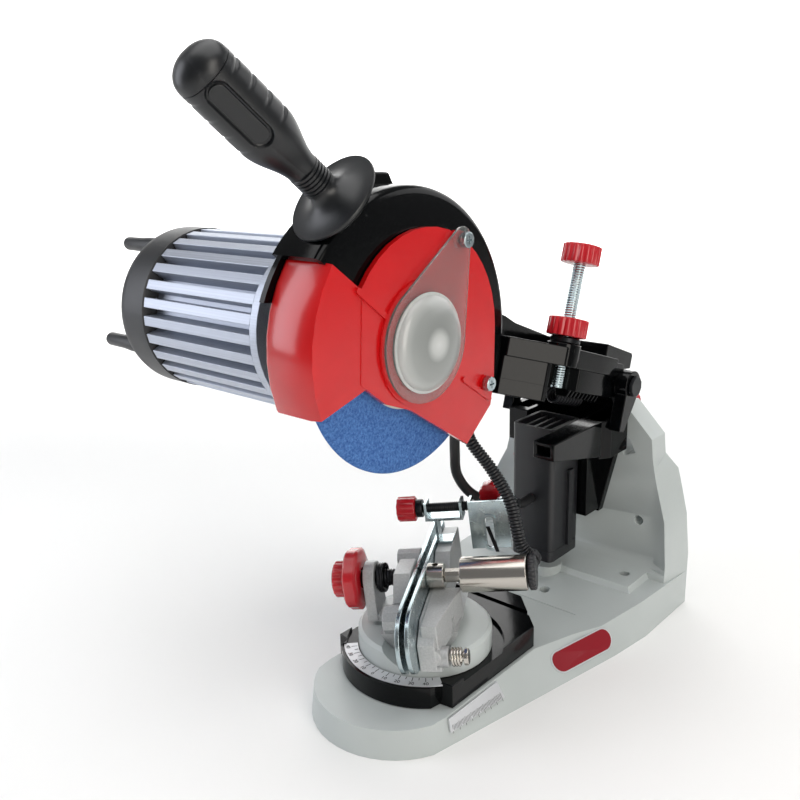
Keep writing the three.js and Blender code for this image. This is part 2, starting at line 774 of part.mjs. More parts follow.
// Fixed jaw wall, drawn from the side with a low saddle where the collar passes
const jawOutline = [
  [jawFrontY, jawBottom - railThickness], [jawFrontY, jawNearTop], [jawFrontY + bossLength, jawSaddleTop],
  [jawCreaseY - bossLength, jawSaddleTop], [jawCreaseY, railTop - railThickness], [jawRearY, railTop - railThickness],
  [jawRearY, railBottom], [rockerHalf, rockerTop], [rockerHalf, jawBottom], [-rockerHalf, jawBottom],
  [-rockerHalf - railThickness, jawBottom - railThickness],
];
const lugInnerX = lugOuterX + lugThickness;
const lugOutline = [
  [-lugHalfWidth, lugBottom], [lugHalfWidth, lugBottom],
  ...arc(0, clampHeight, lugTop - clampHeight, 0, 180, arcSteps),
];
const lugArm = prism('x', lugOutline, lugOuterX, lugInnerX, softEdge);
const viseBody = cut(
  joined(
    cradleBlock,
    prism('x', jawOutline, jawInner, jawOuter, softEdge),
    lugArm,
    block(lugOuterX + softEdge, -lugFootReach, -lugHalfWidth + softEdge, lugHalfWidth - softEdge, lugBottom - softEdge, lugBottom + lugThickness / 2),
    block(jawInner + softEdge, jawFoot - 2 * softEdge, -bossLength - jawThickness, -bossLength, lugBottom - railThickness, lugBottom + lugThickness),
    softRod('y', jawThickness / 2 + softEdge, jawFrontY + softEdge, guideScrewY + 2 * bossRadius, softEdge, jawOuter - jawThickness / 4, guideScrewHeight + railThickness, smallSides),
  ),
  rod('x', lugHoleRadius, lugOuterX - cutOver, lugInnerX + cutOver, 0, clampHeight, smallSides),
  rod('x', clampScrewRadius + gap, jawInner - cutOver, jawOuter + cutOver, 0, clampHeight, smallSides),
  rod('x', guideScrewRadius + gap, jawInner - cutOver, jawFoot + cutOver, guideScrewY, guideScrewHeight, smallSides),
);
show(vise, 'vise_body', viseBody, castAlloy);

// Two zinc rails that hold the chain between them, round at the near end
const railOutline = [
  [railRearY, railBottom], [railRearY, railTop],
  ...arc(railNoseY, railTop - railNoseRadius, railNoseRadius, 90, 270, arcSteps),
  [-drumRadius - drumEdge, railTop - 2 * railNoseRadius],
  [-rockerHalf - 3 * cutOver, jawBottom],
  [-rockerHalf - gap, railBottom],
];
const rail = (from, to) => cut(
  prism('x', railOutline, from, to, softEdge),
  rod('x', clampScrewRadius + gap, from - cutOver, to + cutOver, 0, clampHeight, smallSides),
);
show(vise, 'fixed_rail', rail(railInner, railOuter), zinc);

// Collar, piston rod, polished clamp cylinder and its black end fitting
const collarStart = railOuter + gap;
const collarEnd = collarStart + collarLength;
show(vise, 'clamp_collar', cut(
  softRod('x', collarRadius, collarStart, collarEnd, softEdge, 0, clampHeight),
  prism('z', arc((collarStart + collarEnd) / 2, 0, setScrewRadius, 0, 360, 8).slice(0, -1), clampHeight, clampHeight + 2 * collarRadius),
), steel);
const barrelStart = collarEnd + gap + rodLength;
const barrelEnd = barrelStart + cylinderLength;
show(vise, 'piston_rod', rod('x', rodRadius, collarEnd + gap, barrelStart - gap, 0, clampHeight, smallSides), steel);
show(vise, 'clamp_cylinder', softRod('x', cylinderRadius, barrelStart, barrelEnd, softEdge, 0, clampHeight), steel);
show(vise, 'cylinder_fitting', joined(
  softRod('x', fittingRadius, barrelEnd + gap, barrelEnd + gap + fittingLength, softEdge, 0, clampHeight),
  softRod('y', fittingLength / 2, 0, fittingRadius + fittingLength, softEdge, barrelEnd + gap + fittingLength / 2, clampHeight, smallSides),
), satinBlack);

// Sprung guide screw at the near end
const guideStart = jawInner + jawThickness / 2;
const guideEnd = jawFoot + guideScrewLength;
show(vise, 'guide_screw', joined(
  rod('x', guideScrewRadius, guideStart, guideEnd, guideScrewY, guideScrewHeight, smallSides),
  softRod('x', guideScrewHead, guideEnd - gap, guideEnd + guideScrewRadius, softEdge, guideScrewY, guideScrewHeight, smallSides),
), steel);
const guideTurns = 2;
show(vise, 'guide_spring', coil('x', guideSpringRadius, guideSpringWire, jawOuter + jawThickness / 4 + 2 * softEdge, guideEnd - 2 * gap, guideTurns, guideScrewY, guideScrewHeight), steel);

// Moving jaw: casting with its two bosses, and the rail it pushes
const movingJaw = new THREE.Group();
vise.add(movingJaw);
show(movingJaw, 'moving_rail', rail(-railOuter, -railInner), zinc);
const movingInner = -jawInner;
const movingOuter = movingInner - movingJawThickness;
const movingOutline = [
  [-movingJawHalfLength, movingJawBottom], [movingJawHalfLength, movingJawBottom],
  [movingJawHalfLength, clampHeight], [movingJawHalfLength / 2, movingJawTop],
  [-movingJawHalfLength / 2, movingJawTop], [-movingJawHalfLength, clampHeight / 2],
];
show(movingJaw, 'moving_jaw', cut(
  joined(
    prism('x', movingOutline, movingOuter, movingInner, softEdge),
    softRod('x', bossRadius, movingInner - bossLength, movingInner, softEdge, bossY, movingJawBottom + bossRadius + gap, smallSides),
    softRod('x', bossRadius * 0.8, movingInner - bossLength, movingInner, softEdge, farBossY, clampHeight, smallSides),
  ),
  rod('x', clampScrewRadius + gap, movingOuter - cutOver, movingOuter + movingJawThickness / 2, 0, clampHeight, smallSides),
), castAlloy);

// Clamp screw, its spring and the red lobed knob: they turn together in the lug
const clampKnob = new THREE.Group();
clampKnob.position.set(0, 0, clampHeight);
movingJaw.add(clampKnob);
const screwTip = movingOuter + movingJawThickness / 2 - gap;
const knobFace = lugOuterX - gap - softEdge - clampReserve;
const knobOutline = Array.from({ length: 6 * knobLobes }, (_, i) => {
  const angle = (2 * Math.PI * i) / (6 * knobLobes);
  const r = knobFlangeRadius - (knobLobeDepth * (1 - Math.cos(knobLobes * angle))) / 2;
  return [r * Math.cos(angle), r * Math.sin(angle)];
});
const hubStart = knobFace - knobFlangeThickness - knobHubLength;
show(clampKnob, 'clamp_knob', cut(
  joined(
    prism('x', knobOutline, knobFace - knobFlangeThickness, knobFace, 3 * softEdge),
    fluted('x', knobHubRadius, knurlDepth, 12, hubStart, knobFace - softEdge, softEdge, 0, 0),
  ),
  rod('x', clampScrewRadius + gap, hubStart + knobHubLength / 2, knobFace + cutOver, 0, 0, smallSides),
), red);
show(clampKnob, 'clamp_screw', rod('x', clampScrewRadius, hubStart + knobHubLength / 2 + gap, screwTip, 0, 0, smallSides), satinBlack);
const clampTurns = 1.5;
show(vise, 'clamp_spring', coil('x', clampSpringRadius, clampSpringWire, lugInnerX + gap, lugInnerX + gap + clampSpringLength, clampTurns, 0, clampHeight), satinBlack);

// Chain stop above the far end of the rails
show(vise, 'stop_bracket', cut(
  joined(
    block(stopBracketStart, stopBracketEnd, stopY - stopBracketWidth / 2, stopY + stopBracketWidth / 2, stopBracketFloor, stopBracketFloor + stopSheet),
    block(stopBracketStart, stopBracketStart + stopSheet, stopY - stopBracketWidth / 2, stopY + stopBracketWidth / 2, stopBracketFloor + gap, stopBracketTop),
    block(stopBracketEnd - stopSheet, stopBracketEnd, stopY - stopBracketWidth / 2, stopY + stopBracketWidth / 2, stopBracketFloor + gap, stopBracketTop),
    block(jawInner, jawInner + stopSheet, stopY - stopBracketWidth / 2, stopY + stopBracketWidth / 2, railTop - railThickness + gap, stopBracketFloor + gap),
    block(jawInner, jawOuter, stopY - stopBracketWidth / 2, stopY + stopBracketWidth / 2, railTop - railThickness + gap, railTop - railThickness + gap + stopSheet),
  ),
  rod('x', stopShaftRadius + gap, stopBracketStart - cutOver, stopBracketEnd + cutOver, stopY, stopHeight, smallSides),
), zinc);
const stopShaft = new THREE.Group();
stopShaft.position.set(0, stopY, stopHeight);
vise.add(stopShaft);
show(stopShaft, 'stop_shaft', joined(
  rod('x', stopShaftRadius, stopShaftStart, stopShaftEnd, 0, 0, smallSides),
  softRod('x', stopCollarRadius, stopShaftStart, stopShaftStart + stopCollarLength, softEdge, 0, 0, smallSides),
), satinBlack);
show(stopShaft, 'stop_knob', fluted('x', stopKnobRadius, knurlDepth, 10, stopShaftStart - gap - stopKnobLength, stopShaftStart - gap, 2 * softEdge, 0, 0), red);
const stopPlateGroup = new THREE.Group();
vise.add(stopPlateGroup);
const plateY = stopY - nutRadius - stopSheet - gap;
const plateMiddle = (stopPlateStart + stopPlateEnd) / 2;
const plateEar = (x) => block(x, x + stopSheet, plateY, plateY + stopBracketWidth, stopHeight - nutRadius, stopPlateTop);
show(stopPlateGroup, 'stop_plate', cut(
  joined(
    block(stopPlateStart, stopPlateEnd, plateY, plateY + stopSheet, stopPlateBottom, stopPlateTop),
    plateEar(stopPlateStart), plateEar(stopPlateEnd - stopSheet),
  ),
  prism('y', roundedBox(plateMiddle, (stopPlateBottom + stopPlateTop) / 2 - stopSlotWidth, stopSlotWidth / 2, stopSlotLength / 2, stopSlotWidth / 2 - gap), plateY - cutOver, plateY + stopSheet + cutOver),
  rod('x', stopShaftRadius + gap, stopPlateStart - cutOver, stopPlateEnd + cutOver, stopY, stopHeight, smallSides),
), zinc);
show(stopPlateGroup, 'stop_nut', cut(
  nut('x', nutRadius, stopPlateEnd - stopSheet - gap - nutLength, stopPlateEnd - stopSheet - gap, stopY, stopHeight),
  rod('x', stopShaftRadius + gap, stopPlateStart, stopPlateEnd, stopY, stopHeight, smallSides),
), zinc);
show(stopPlateGroup, 'stop_pawl', prism('y', [
  [plateMiddle - pawlWidth, stopHeight - 2 * nutRadius], [plateMiddle, stopHeight - 2 * nutRadius],
  [plateMiddle + 2 * pawlWidth, stopPlateBottom - pawlWidth], [plateMiddle + pawlWidth, stopPlateBottom - pawlWidth],
], plateY - gap - pawlThickness, plateY - gap), satinBlack);
show(stopPlateGroup, 'stop_back_knob', joined(
  fluted('y', backKnobRadius, knurlDepth, 10, stopY + stopBracketWidth / 2 + gap, stopY + stopBracketWidth / 2 + gap + backKnobLength, 2 * softEdge, backKnobX, stopHeight + backKnobRadius / 2),
), red);

// Head bracket: tilts about the pin, with the hinge lugs and the two wedges
const head = new THREE.Group();
grinder.add(head);
const bracketRear = wallFrontY - gap;
const bracketFront = bracketRear - bracketThickness;
const lugInner = hingeLugOuterX - hingeLugThickness;
const lugFootHeight = hingeHeight - lugFootDrop;
const lugPlateOutline = [
  [bracketRear, lugFootHeight - lugFootDrop], [bracketRear, hingeHeight],
  ...arc(hingeY, hingeHeight, hingeLugRadius, 0, 180, arcSteps),
  [hingeY - hingeLugRadius, lugFootHeight], [wedgeRearY, lugFootHeight - hingeLugRadius], [wedgeRearY, lugFootHeight - lugFootDrop],
];
const wedgeBottomAtMouth = wedgeTop - wedgeMouthHeight;
function wedge(mouthY) {
  const outline = [
    [mouthY, wedgeBottomAtMouth], [wedgeRearY, wedgeRearBottom], [bracketRear - gap, wedgeRearBottom - gap],
    [bracketRear - gap, wedgeTop], [mouthY, wedgeTop],
  ];
  const body = prism('x', outline, wedgeInnerX, wedgeOuterX, 0);
  const socket = block(wedgeInnerX + wedgeWall, wedgeOuterX - wedgeWall, mouthY - cutOver, mouthY + wedgeSocketDepth,
    wedgeBottomAtMouth + wedgeWall, wedgeTop - wedgeWall);
  return cut(body, socket);
}
const flare = (side) => {
  const outline = [[side * wedgeOuterX, wedgeRearY - hingeLugThickness], [side * hingeLugOuterX, wedgeRearY + hingeLugThickness],
    [side * hingeLugOuterX, bracketRear], [side * (wedgeInnerX + wedgeWall), bracketRear], [side * (wedgeInnerX + wedgeWall), wedgeRearY - hingeLugThickness]];
  return prism('z', side > 0 ? outline : outline.reverse(), wedgeRearBottom - gap, wedgeTop);
};
const lugPlate = (from) => prism('x', lugPlateOutline, from, from + hingeLugThickness, softEdge);
const bracketPlate = prism('y', [
  [-bracketHalfWidth, wedgeTop], [-bracketHalfWidth, wedgeRearBottom], [-boxSupportHalfWidth * 1.5, bracketBottom], [boxSupportHalfWidth * 1.5, bracketBottom],
  [bracketHalfWidth, wedgeRearBottom], [bracketHalfWidth, wedgeTop], [boxHalfWidth, bracketTop], [-boxHalfWidth, bracketTop],
], bracketFront, bracketRear, 0);
const leftWedge = wedge(leftWedgeMouthY).mirror([1, 0, 0]);
const tiltBracket = cut(
  joined(
    bracketPlate, wedge(wedgeMouthY), leftWedge, flare(1), flare(-1),
    lugPlate(lugInner), lugPlate(-hingeLugOuterX),
    block(-boxSupportHalfWidth, boxSupportHalfWidth, boxRearY + gap, bracketFront + softEdge, bracketBottom + softEdge, wedgeTop - softEdge),
    block(-wedgeInnerX - wedgeWall, wedgeInnerX + wedgeWall, boxRearY + gap, bracketFront + softEdge, wedgeRearBottom, wedgeTop - 2 * softEdge),
  ),
  rod('x', hingePinRadius + gap, -hingeLugOuterX - cutOver, hingeLugOuterX + cutOver, hingeY, hingeHeight, smallSides),
  rod('y', tiltPinRadius + gap, bracketFront + hingeLugThickness / 2, bracketRear + cutOver, 0, tiltHeight, smallSides),
  rod('y', tiltStudRadius + gap, bracketFront - cutOver, bracketRear + cutOver, tiltStudX, tiltStudHeight, smallSides),
);
show(head, 'tilt_bracket', tiltBracket, glossBlack);
const studEnd = wallRearY + lockKnobThickness;
show(head, 'tilt_stud', rod('y', tiltStudRadius, bracketFront + gap, studEnd, tiltStudX, tiltStudHeight, smallSides), zinc);
const lockKnob = new THREE.Group();
lockKnob.position.set(tiltStudX, 0, tiltStudHeight);
head.add(lockKnob);
show(lockKnob, 'tilt_lock_knob', cut(
  fluted('y', lockKnobRadius, 2 * knurlDepth, 8, wallRearY + 2 * gap, wallRearY + 2 * gap + lockKnobThickness, 3 * softEdge, 0, 0),
  rod('y', tiltStudRadius + gap, wallRearY - cutOver, studEnd + gap, 0, 0, smallSides),
), red);
const pinHeadStart = hingeLugOuterX + gap;
const pinHeadEnd = hingeLugOuterX + hingePinRadius / 2;
const pinHalf = [
  [hingePinRadius, pinHeadStart], [hingePinHead, pinHeadStart],
  [hingePinHead, pinHeadEnd - softEdge], [hingePinHead - softEdge, pinHeadEnd], [0, pinHeadEnd],
];
show(head, 'hinge_pin', turned('x', [
  ...pinHalf.map(([r, x]) => [r, -x]).reverse(), ...pinHalf,
], hingeY, hingeHeight, smallSides), steel);

// Tall electrics box: open mouth with ribs at the top, a ridge down each side, a seam near the foot
const boxMiddleY = (boxFrontY + boxRearY) / 2;
const boxHalfDepth = (boxRearY - boxFrontY) / 2;
const boxOutline = roundedBox(0, boxMiddleY, boxHalfWidth, boxHalfDepth, boxCorner, 3);
const boxMouth = roundedBox(0, boxMiddleY, boxHalfWidth - boxWall, boxHalfDepth - boxWall, boxCorner - boxWall + gap, 3);
const boxRidge = (side) => block(
  Math.min(side * (boxHalfWidth - boxWall), side * (boxHalfWidth + boxRidgeDepth)), Math.max(side * (boxHalfWidth - boxWall), side * (boxHalfWidth + boxRidgeDepth)),
  boxRidgeY - boxRidgeWidth / 2, boxRidgeY + boxRidgeWidth / 2, boxBottom + boxSeam, wedgeRearBottom - boxSeam);
const boxRibCount = 4;
const boxRibs = Array.from({ length: boxRibCount }, (_, i) => {
  const x = -boxHalfWidth + ((i + 1) * 2 * boxHalfWidth) / (boxRibCount + 1);
  return block(x - boxRibThickness / 2, x + boxRibThickness / 2, boxFrontY + softEdge, boxRearY - softEdge, boxTop - boxMouthDepth - softEdge, boxTop - boxWall);
});
show(head, 'electrics_box', joined(
  cut(
    joined(prism('z', boxOutline, boxBottom + boxSeam + gap, boxTop, 0), boxRidge(1), boxRidge(-1)),
    prism('z', boxMouth, boxTop - boxMouthDepth, boxTop + cutOver),
    block(-boxHalfWidth - cutOver, -boxHalfWidth + rockerThickness + gap, boxMiddleY - boxRidgeWidth - rockerWidth / 2 - gap, boxMiddleY - boxRidgeWidth + rockerWidth / 2 + gap,
      rockerZ - rockerHeight / 2 - 2 * gap, rockerZ + rockerHeight / 2 + 2 * gap),
  ),
  ...boxRibs,
), satinBlack);
show(head, 'box_foot', prism('z', boxOutline, boxBottom, boxBottom + boxSeam, softEdge), satinBlack);

// Rocker switch in the hidden side of the box
const rocker = new THREE.Group();
const rockerY = boxMiddleY - boxRidgeWidth;
rocker.position.set(-boxHalfWidth, rockerY, rockerZ);
head.add(rocker);
show(rocker, 'rocker_switch', prism('y', [
  [rockerThickness / 2, -rockerHeight / 2], [rockerThickness / 2, rockerHeight / 2],
  [-rockerThickness / 2, rockerHeight / 2], [-gap, 0], [-gap, -rockerHeight / 2],
], -rockerWidth / 2, rockerWidth / 2), red);

// Swing arm: an open-topped channel on the hinge pin, drawn level and pitched down to the rear
const arm = new THREE.Group();
head.add(arm);
const armFrame = new THREE.Group();
armFrame.position.set(0, hingeY, hingeHeight);
armFrame.rotation.x = -radians(armPitchDegrees);
arm.add(armFrame);
const pitch = radians(armPitchDegrees);
const toArm = (y, z) => [
  (y - hingeY) * Math.cos(pitch) - (z - hingeHeight) * Math.sin(pitch),
  (y - hingeY) * Math.sin(pitch) + (z - hingeHeight) * Math.cos(pitch),
];
const [guardArmY, guardArmZ] = toArm(guardY, guardHeight);
const armInner = armHalfWidth - armWall;
const barrelHalf = lugInner - gap;
const sideOutline = (top) => [
  [armFrontY, armWebTop - armWall], [armBellyFrontY, armBottom], [armBellyRearY, armBottom], [armNeckY, armWebTop - 2 * armWall],
  [-armBarrelRadius, -armBarrelRadius + softEdge], [0, 0], [0, armBarrelRadius - softEdge], [-armBarrelRadius, top], [armFrontY, top],
];
const armCasting = cut(
  joined(
    prism('x', sideOutline(armTop), armInner, armHalfWidth),
    prism('x', sideOutline(armLeftTop), -armHalfWidth, -armInner),
    block(-armInner - softEdge, armInner + softEdge, armFrontY + softEdge, -2 * armBarrelRadius, armWebTop - armWall, armWebTop),
    block(-armInner - softEdge, armInner + softEdge, armFrontY + softEdge, guardArmY + guardRadius + 2 * armWall, armWebTop - softEdge, armTop),
    rod('x', armBarrelRadius, -barrelHalf, barrelHalf, 0, 0),
    softRod('z', screwBossRadius, armTop - screwBossHeight - gap, armTop + armWall, softEdge, screwLineX, screwBossY),
  ),
  rod('x', hingePinRadius + gap, -barrelHalf - cutOver, barrelHalf + cutOver, 0, 0, smallSides),
  rod('x', guardRadius + gap, -armHalfWidth - cutOver, armHalfWidth + cutOver, guardArmY, guardArmZ, 2 * roundSides),
  rod('z', depthScrewRadius + gap, armBottom - cutOver, armTop + cutOver + armWall, screwLineX, screwBossY, smallSides),
  block(-barrelHalf - cutOver, barrelHalf + cutOver, -armWall, armBarrelRadius + cutOver, armBarrelRadius, armLeftTop + cutOver),
);
show(armFrame, 'swing_arm', armCasting, glossBlack);
const springTurns = 7;
const springStandoff = returnSpringRadius + returnSpringWire + gap;
show(armFrame, 'return_spring', coil('y', returnSpringRadius, returnSpringWire, armBellyRearY + gap, armBellyRearY + returnSpringLength, springTurns,
  armInner - springStandoff, armWebTop - armWall - springStandoff), zinc);

// Depth screw with its top knob, and the lock knob on the boss
const depthScrew = new THREE.Group();
depthScrew.position.set(screwLineX, screwBossY, armTop);
armFrame.add(depthScrew);
const bossTop = armWall + gap;
show(depthScrew, 'depth_screw', rod('z', depthScrewRadius, -screwBossHeight - depthScrewBelow, depthScrewAbove - depthKnobHeight / 2, 0, 0, smallSides), zinc);
show(depthScrew, 'depth_knob', cut(
  fluted('z', depthKnobRadius, knurlDepth, knurlCount, depthScrewAbove - depthKnobHeight, depthScrewAbove, 2 * softEdge, 0, 0),
  rod('z', depthScrewRadius + gap, depthScrewAbove - depthKnobHeight - cutOver, depthScrewAbove - depthKnobHeight / 2 + gap, 0, 0, smallSides),
), red);
const depthLock = new THREE.Group();
depthLock.position.set(screwLineX, screwBossY, armTop);
armFrame.add(depthLock);
show(depthLock, 'depth_lock_knob', cut(
  fluted('z', lockNutRadius, knurlDepth, knurlCount, bossTop, bossTop + lockNutHeight, 2 * softEdge, 0, 0),
  rod('z', depthScrewRadius + gap, bossTop - cutOver, bossTop + lockNutHeight + cutOver, 0, 0, smallSides),
), red);

// Guard housing: back plate, rim and front lip round the wheel
const guardLipInner = coverRadius - guardLipCover;
const sector = prism('x', [
  [guardY, guardHeight],
  ...arc(guardY, guardHeight, guardRadius + cutOver, guardEndDegrees, guardStartDegrees, 2 * arcSteps),
], guardBackX - cutOver, guardFrontX + cutOver);
const channel = turned('x', [
  [guardRadius - guardWall, guardBackX], [guardRadius, guardBackX], [guardRadius, guardFrontX],
  [guardLipInner, guardFrontX], [guardLipInner, guardFrontX - guardWall],
  [guardRadius - guardWall, guardFrontX - guardWall], [guardRadius - guardWall, guardBackX],
], guardY, guardHeight, 2 * roundSides).intersect(sector);
const backOutline = [
  ...arc(guardY, guardHeight, guardRadius, guardEndDegrees, guardStartDegrees + 2 * pegStartDegrees / 2, 3 * arcSteps),
  [hoodFrontY + hubCoverRadius, guardHeight - guardWall], [coverCentreY - coverRadius / 2, guardHeight - coverRadius / 2],
  [coverCentreY + coverRadius / 3, guardHeight - coverRadius * 0.7],
];
const bellCentre = new THREE.Vector3(bellX, bellY, bellHeight);
const handleLine = new THREE.Vector3(handleTipX, handleTipY, handleTipHeight).sub(bellCentre);
const handleLength = handleLine.length();
const handleTurn = new THREE.Quaternion().setFromUnitVectors(new THREE.Vector3(0, 0, 1), handleLine.clone().normalize());
const alongHandle = (profile, sides) => {
  const geometry = new THREE.LatheGeometry(profile.map(([r, h]) => new THREE.Vector2(r, h)), sides);
  geometry.applyMatrix4(new THREE.Matrix4().makeRotationX(Math.PI / 2));
  geometry.applyMatrix4(new THREE.Matrix4().compose(bellCentre, handleTurn, new THREE.Vector3(1, 1, 1)));
  return solid(geometry);
};
const bellBoss = alongHandle([[0, -bellDepth], [bellBossRadius, -bellDepth], [bellBossRadius, -gap], [0, -gap]], roundSides);
const insideGuard = rod('x', guardRadius - guardWall / 2, guardBackX + guardWall, guardFrontX - guardWall, guardY, guardHeight, 2 * roundSides);
const frontBlock = prism('x', [
  [coverCentreY - coverRadius * 0.85, guardHeight + coverRadius * 0.62], [hoodFrontY + 4 * guardWall, guardHeight + hubCoverRadius * 1.62],
  [hoodFrontY + 6.5 * guardWall, guardHeight + coverRadius], [guardY - guardRadius / 2, guardHeight + guardRadius * 0.8],
], guardBackX, guardFrontX);
const spindleHole = spindleRadius + 2 * guardWall;
const hoodPlace = prism('x', [
  [wheelY, wheelHeight],
  ...arc(wheelY, wheelHeight, guardRadius + 2 * cutOver, hoodTopDegrees - gap, hoodBottomDegrees, arcSteps),
], guardBackX + guardWall, guardFrontX + cutOver);
const bellPlace = alongHandle([[0, -gap], [bellRadius + gap, -gap], [bellRadius + gap, bellDepth], [0, bellDepth]], roundSides);
const guardHousing = cut(
  joined(
    channel,
    prism('x', backOutline, guardBackX, guardBackX + guardWall),
    frontBlock,
    cut(bellBoss, insideGuard),
  ),
  hoodPlace,
  bellPlace,
  rod('x', wheelRadius + 2 * gap + wheelThickness / 2, guardBackX + guardWall, guardFrontX - guardWall, wheelY, wheelHeight, 2 * roundSides),
  rod('x', spindleHole, guardBackX - cutOver, guardBackX + guardWall + cutOver, wheelY, wheelHeight),
);
show(arm, 'guard_housing', guardHousing, glossBlack);

// Red cover: face plate, raised hub rim, two bars and the hollow front hood
const plateBack = coverFaceX - coverSheet;
const lowerEdgeShares = [[-0.25, -0.56], [0.275, -0.91], [0.55, -1.09], [0.93, -0.79], [0.985, -0.55]];
const coverEdge = [
  ...arc(coverCentreY, coverCentreHeight, coverRadius, 0, 144, 2 * arcSteps),
  [coverCentreY - coverRadius * 0.86, coverCentreHeight - coverRadius * 0.2],
  [coverCentreY - coverRadius * 0.57, coverCentreHeight - coverRadius * 0.43],
  ...lowerEdgeShares.map(([u, v]) => [coverCentreY + coverRadius * u, coverCentreHeight + coverRadius * v]),
];
const hoodReach = coverCentreY - hoodFrontY;
const hoodArc = (x, radius) => [
  ...arc(wheelY, wheelHeight, radius, hoodTopDegrees, hoodBottomDegrees, 6),
  hoodRearLow,
  ...arc(wheelY, wheelHeight, radius / 2, hoodTopDegrees, hoodTopDegrees + 1, 1).slice(0, 1),
].map(([y, z]) => [x, y, z]);
const hoodRearLow = [coverCentreY - 0.55 * hoodReach, coverCentreHeight - 0.24 * coverRadius];
const hood = lofted([
  hoodArc(hoodLeftX, hoodRadius - hoodWall / 2),
  hoodArc(hoodLeftX + hoodWall, hoodRadius),
  hoodArc(wheelThickness, hoodRadius),
  hoodArc(coverFaceX - softEdge, hoodRadius - hoodWall / 2),
]);
const barLine = (u0, v0, u1, v1) => {
  const start = [coverCentreY + coverRadius * u0, coverCentreHeight + coverRadius * v0];
  const end = [coverCentreY + coverRadius * u1, coverCentreHeight + coverRadius * v1];
  return prism('x', tear(start[0], start[1], barWidth / 2, end[0], end[1], barWidth / 2 - gap / 2, 3), coverFaceX - softEdge, coverFaceX + barHeight);
};
const coverBoss = (y, z) => rod('x', coverScrewRadius + softEdge, plateBack, coverFaceX + hubCoverStandoff, y, z, smallSides);
const screwHole = (y, z) => rod('x', coverScrewRadius / 2 + gap, guardBackX, coverFaceX + cutOver, y, z, smallSides);
const wheelCavity = wheelRadius + wheelThickness / 2;
const guardCover = cut(
  joined(
    prism('x', coverEdge, plateBack, coverFaceX),
    cut(hood,
      rod('x', wheelCavity, hoodLeftX + hoodWall, wheelThickness, wheelY, wheelHeight, 2 * roundSides),
      rod('x', guardRadius + gap, hoodLeftX - cutOver, guardFrontX + gap, guardY, guardHeight, 2 * roundSides).intersect(sector)),
    ring('x', hubRimRadius, domeRadius + gap, plateBack + softEdge, coverFaceX + hubRimHeight - softEdge, hubCoverCentreY, hubCoverCentreHeight),
    barLine(-0.86, 0.58, -0.46, 0.25), barLine(0.5, -0.44, 0.9, -0.72),
    coverBoss(hubCoverTipY, hubCoverTipHeight), coverBoss(lowerScrewY, lowerScrewHeight),
  ),
  rod('x', domeRadius - gap, guardFrontX, coverFaceX + cutOver, hubCoverCentreY, hubCoverCentreHeight),
  screwHole(hubCoverTipY, hubCoverTipHeight), screwHole(lowerScrewY, lowerScrewHeight),
);
show(arm, 'guard_cover', guardCover, red);

// Clear cover over the hub: swings aside on the upper screw
const hubCover = new THREE.Group();
hubCover.position.set(0, hubCoverTipY, hubCoverTipHeight);
arm.add(hubCover);
const sheetBack = coverFaceX + hubRimHeight + gap;
const sheetFront = sheetBack + hubCoverSheet;
const hubY = hubCoverCentreY - hubCoverTipY;
const hubZ = hubCoverCentreHeight - hubCoverTipHeight;
const domeProfile = [0, 18, 36, 54, 72, 90].map((turn) =>
  [domeRadius * Math.cos(radians(turn)), sheetFront - softEdge + domeHeight * Math.sin(radians(turn))]);
const domeShell = turned('x', [
  [0, sheetFront - softEdge], ...domeProfile,
], hubY, hubZ);
const domeHollow = turned('x', [
  [0, sheetBack - cutOver], [domeRadius - hubCoverSheet, sheetBack - cutOver],
  ...domeProfile.map(([r, h]) => [(r * (domeRadius - hubCoverSheet)) / domeRadius, h - hubCoverSheet]),
], hubY, hubZ);
show(hubCover, 'hub_cover', cut(
  joined(prism('x', tear(hubY, hubZ, hubCoverRadius, 0, 0, hubCoverTipRadius), sheetBack, sheetFront), domeShell),
  domeHollow,
  rod('x', coverScrewRadius / 2 + gap, sheetBack - cutOver, sheetFront + cutOver, 0, 0, smallSides),
), clearPlastic);

function coverScrew(name, headBack, y, z) {
  show(arm, name, cut(
    joined(
      softRod('x', coverScrewRadius, headBack, headBack + coverScrewLength, softEdge, y, z, smallSides),
      rod('x', coverScrewRadius / 2, guardFrontX + gap, headBack + softEdge, y, z, smallSides),
    ),
    block(headBack + coverScrewLength / 2, headBack + 2 * coverScrewLength, y - coverScrewRadius / 2, y + coverScrewRadius / 2, z - softEdge, z + softEdge),
    block(headBack + coverScrewLength / 2, headBack + 2 * coverScrewLength, y - softEdge, y + softEdge, z - coverScrewRadius / 2, z + coverScrewRadius / 2),
  ), zinc);
}
coverScrew('upper_cover_screw', sheetFront + gap, hubCoverTipY, hubCoverTipHeight);
coverScrew('lower_cover_screw', coverFaceX + hubCoverStandoff + gap, lowerScrewY, lowerScrewHeight);

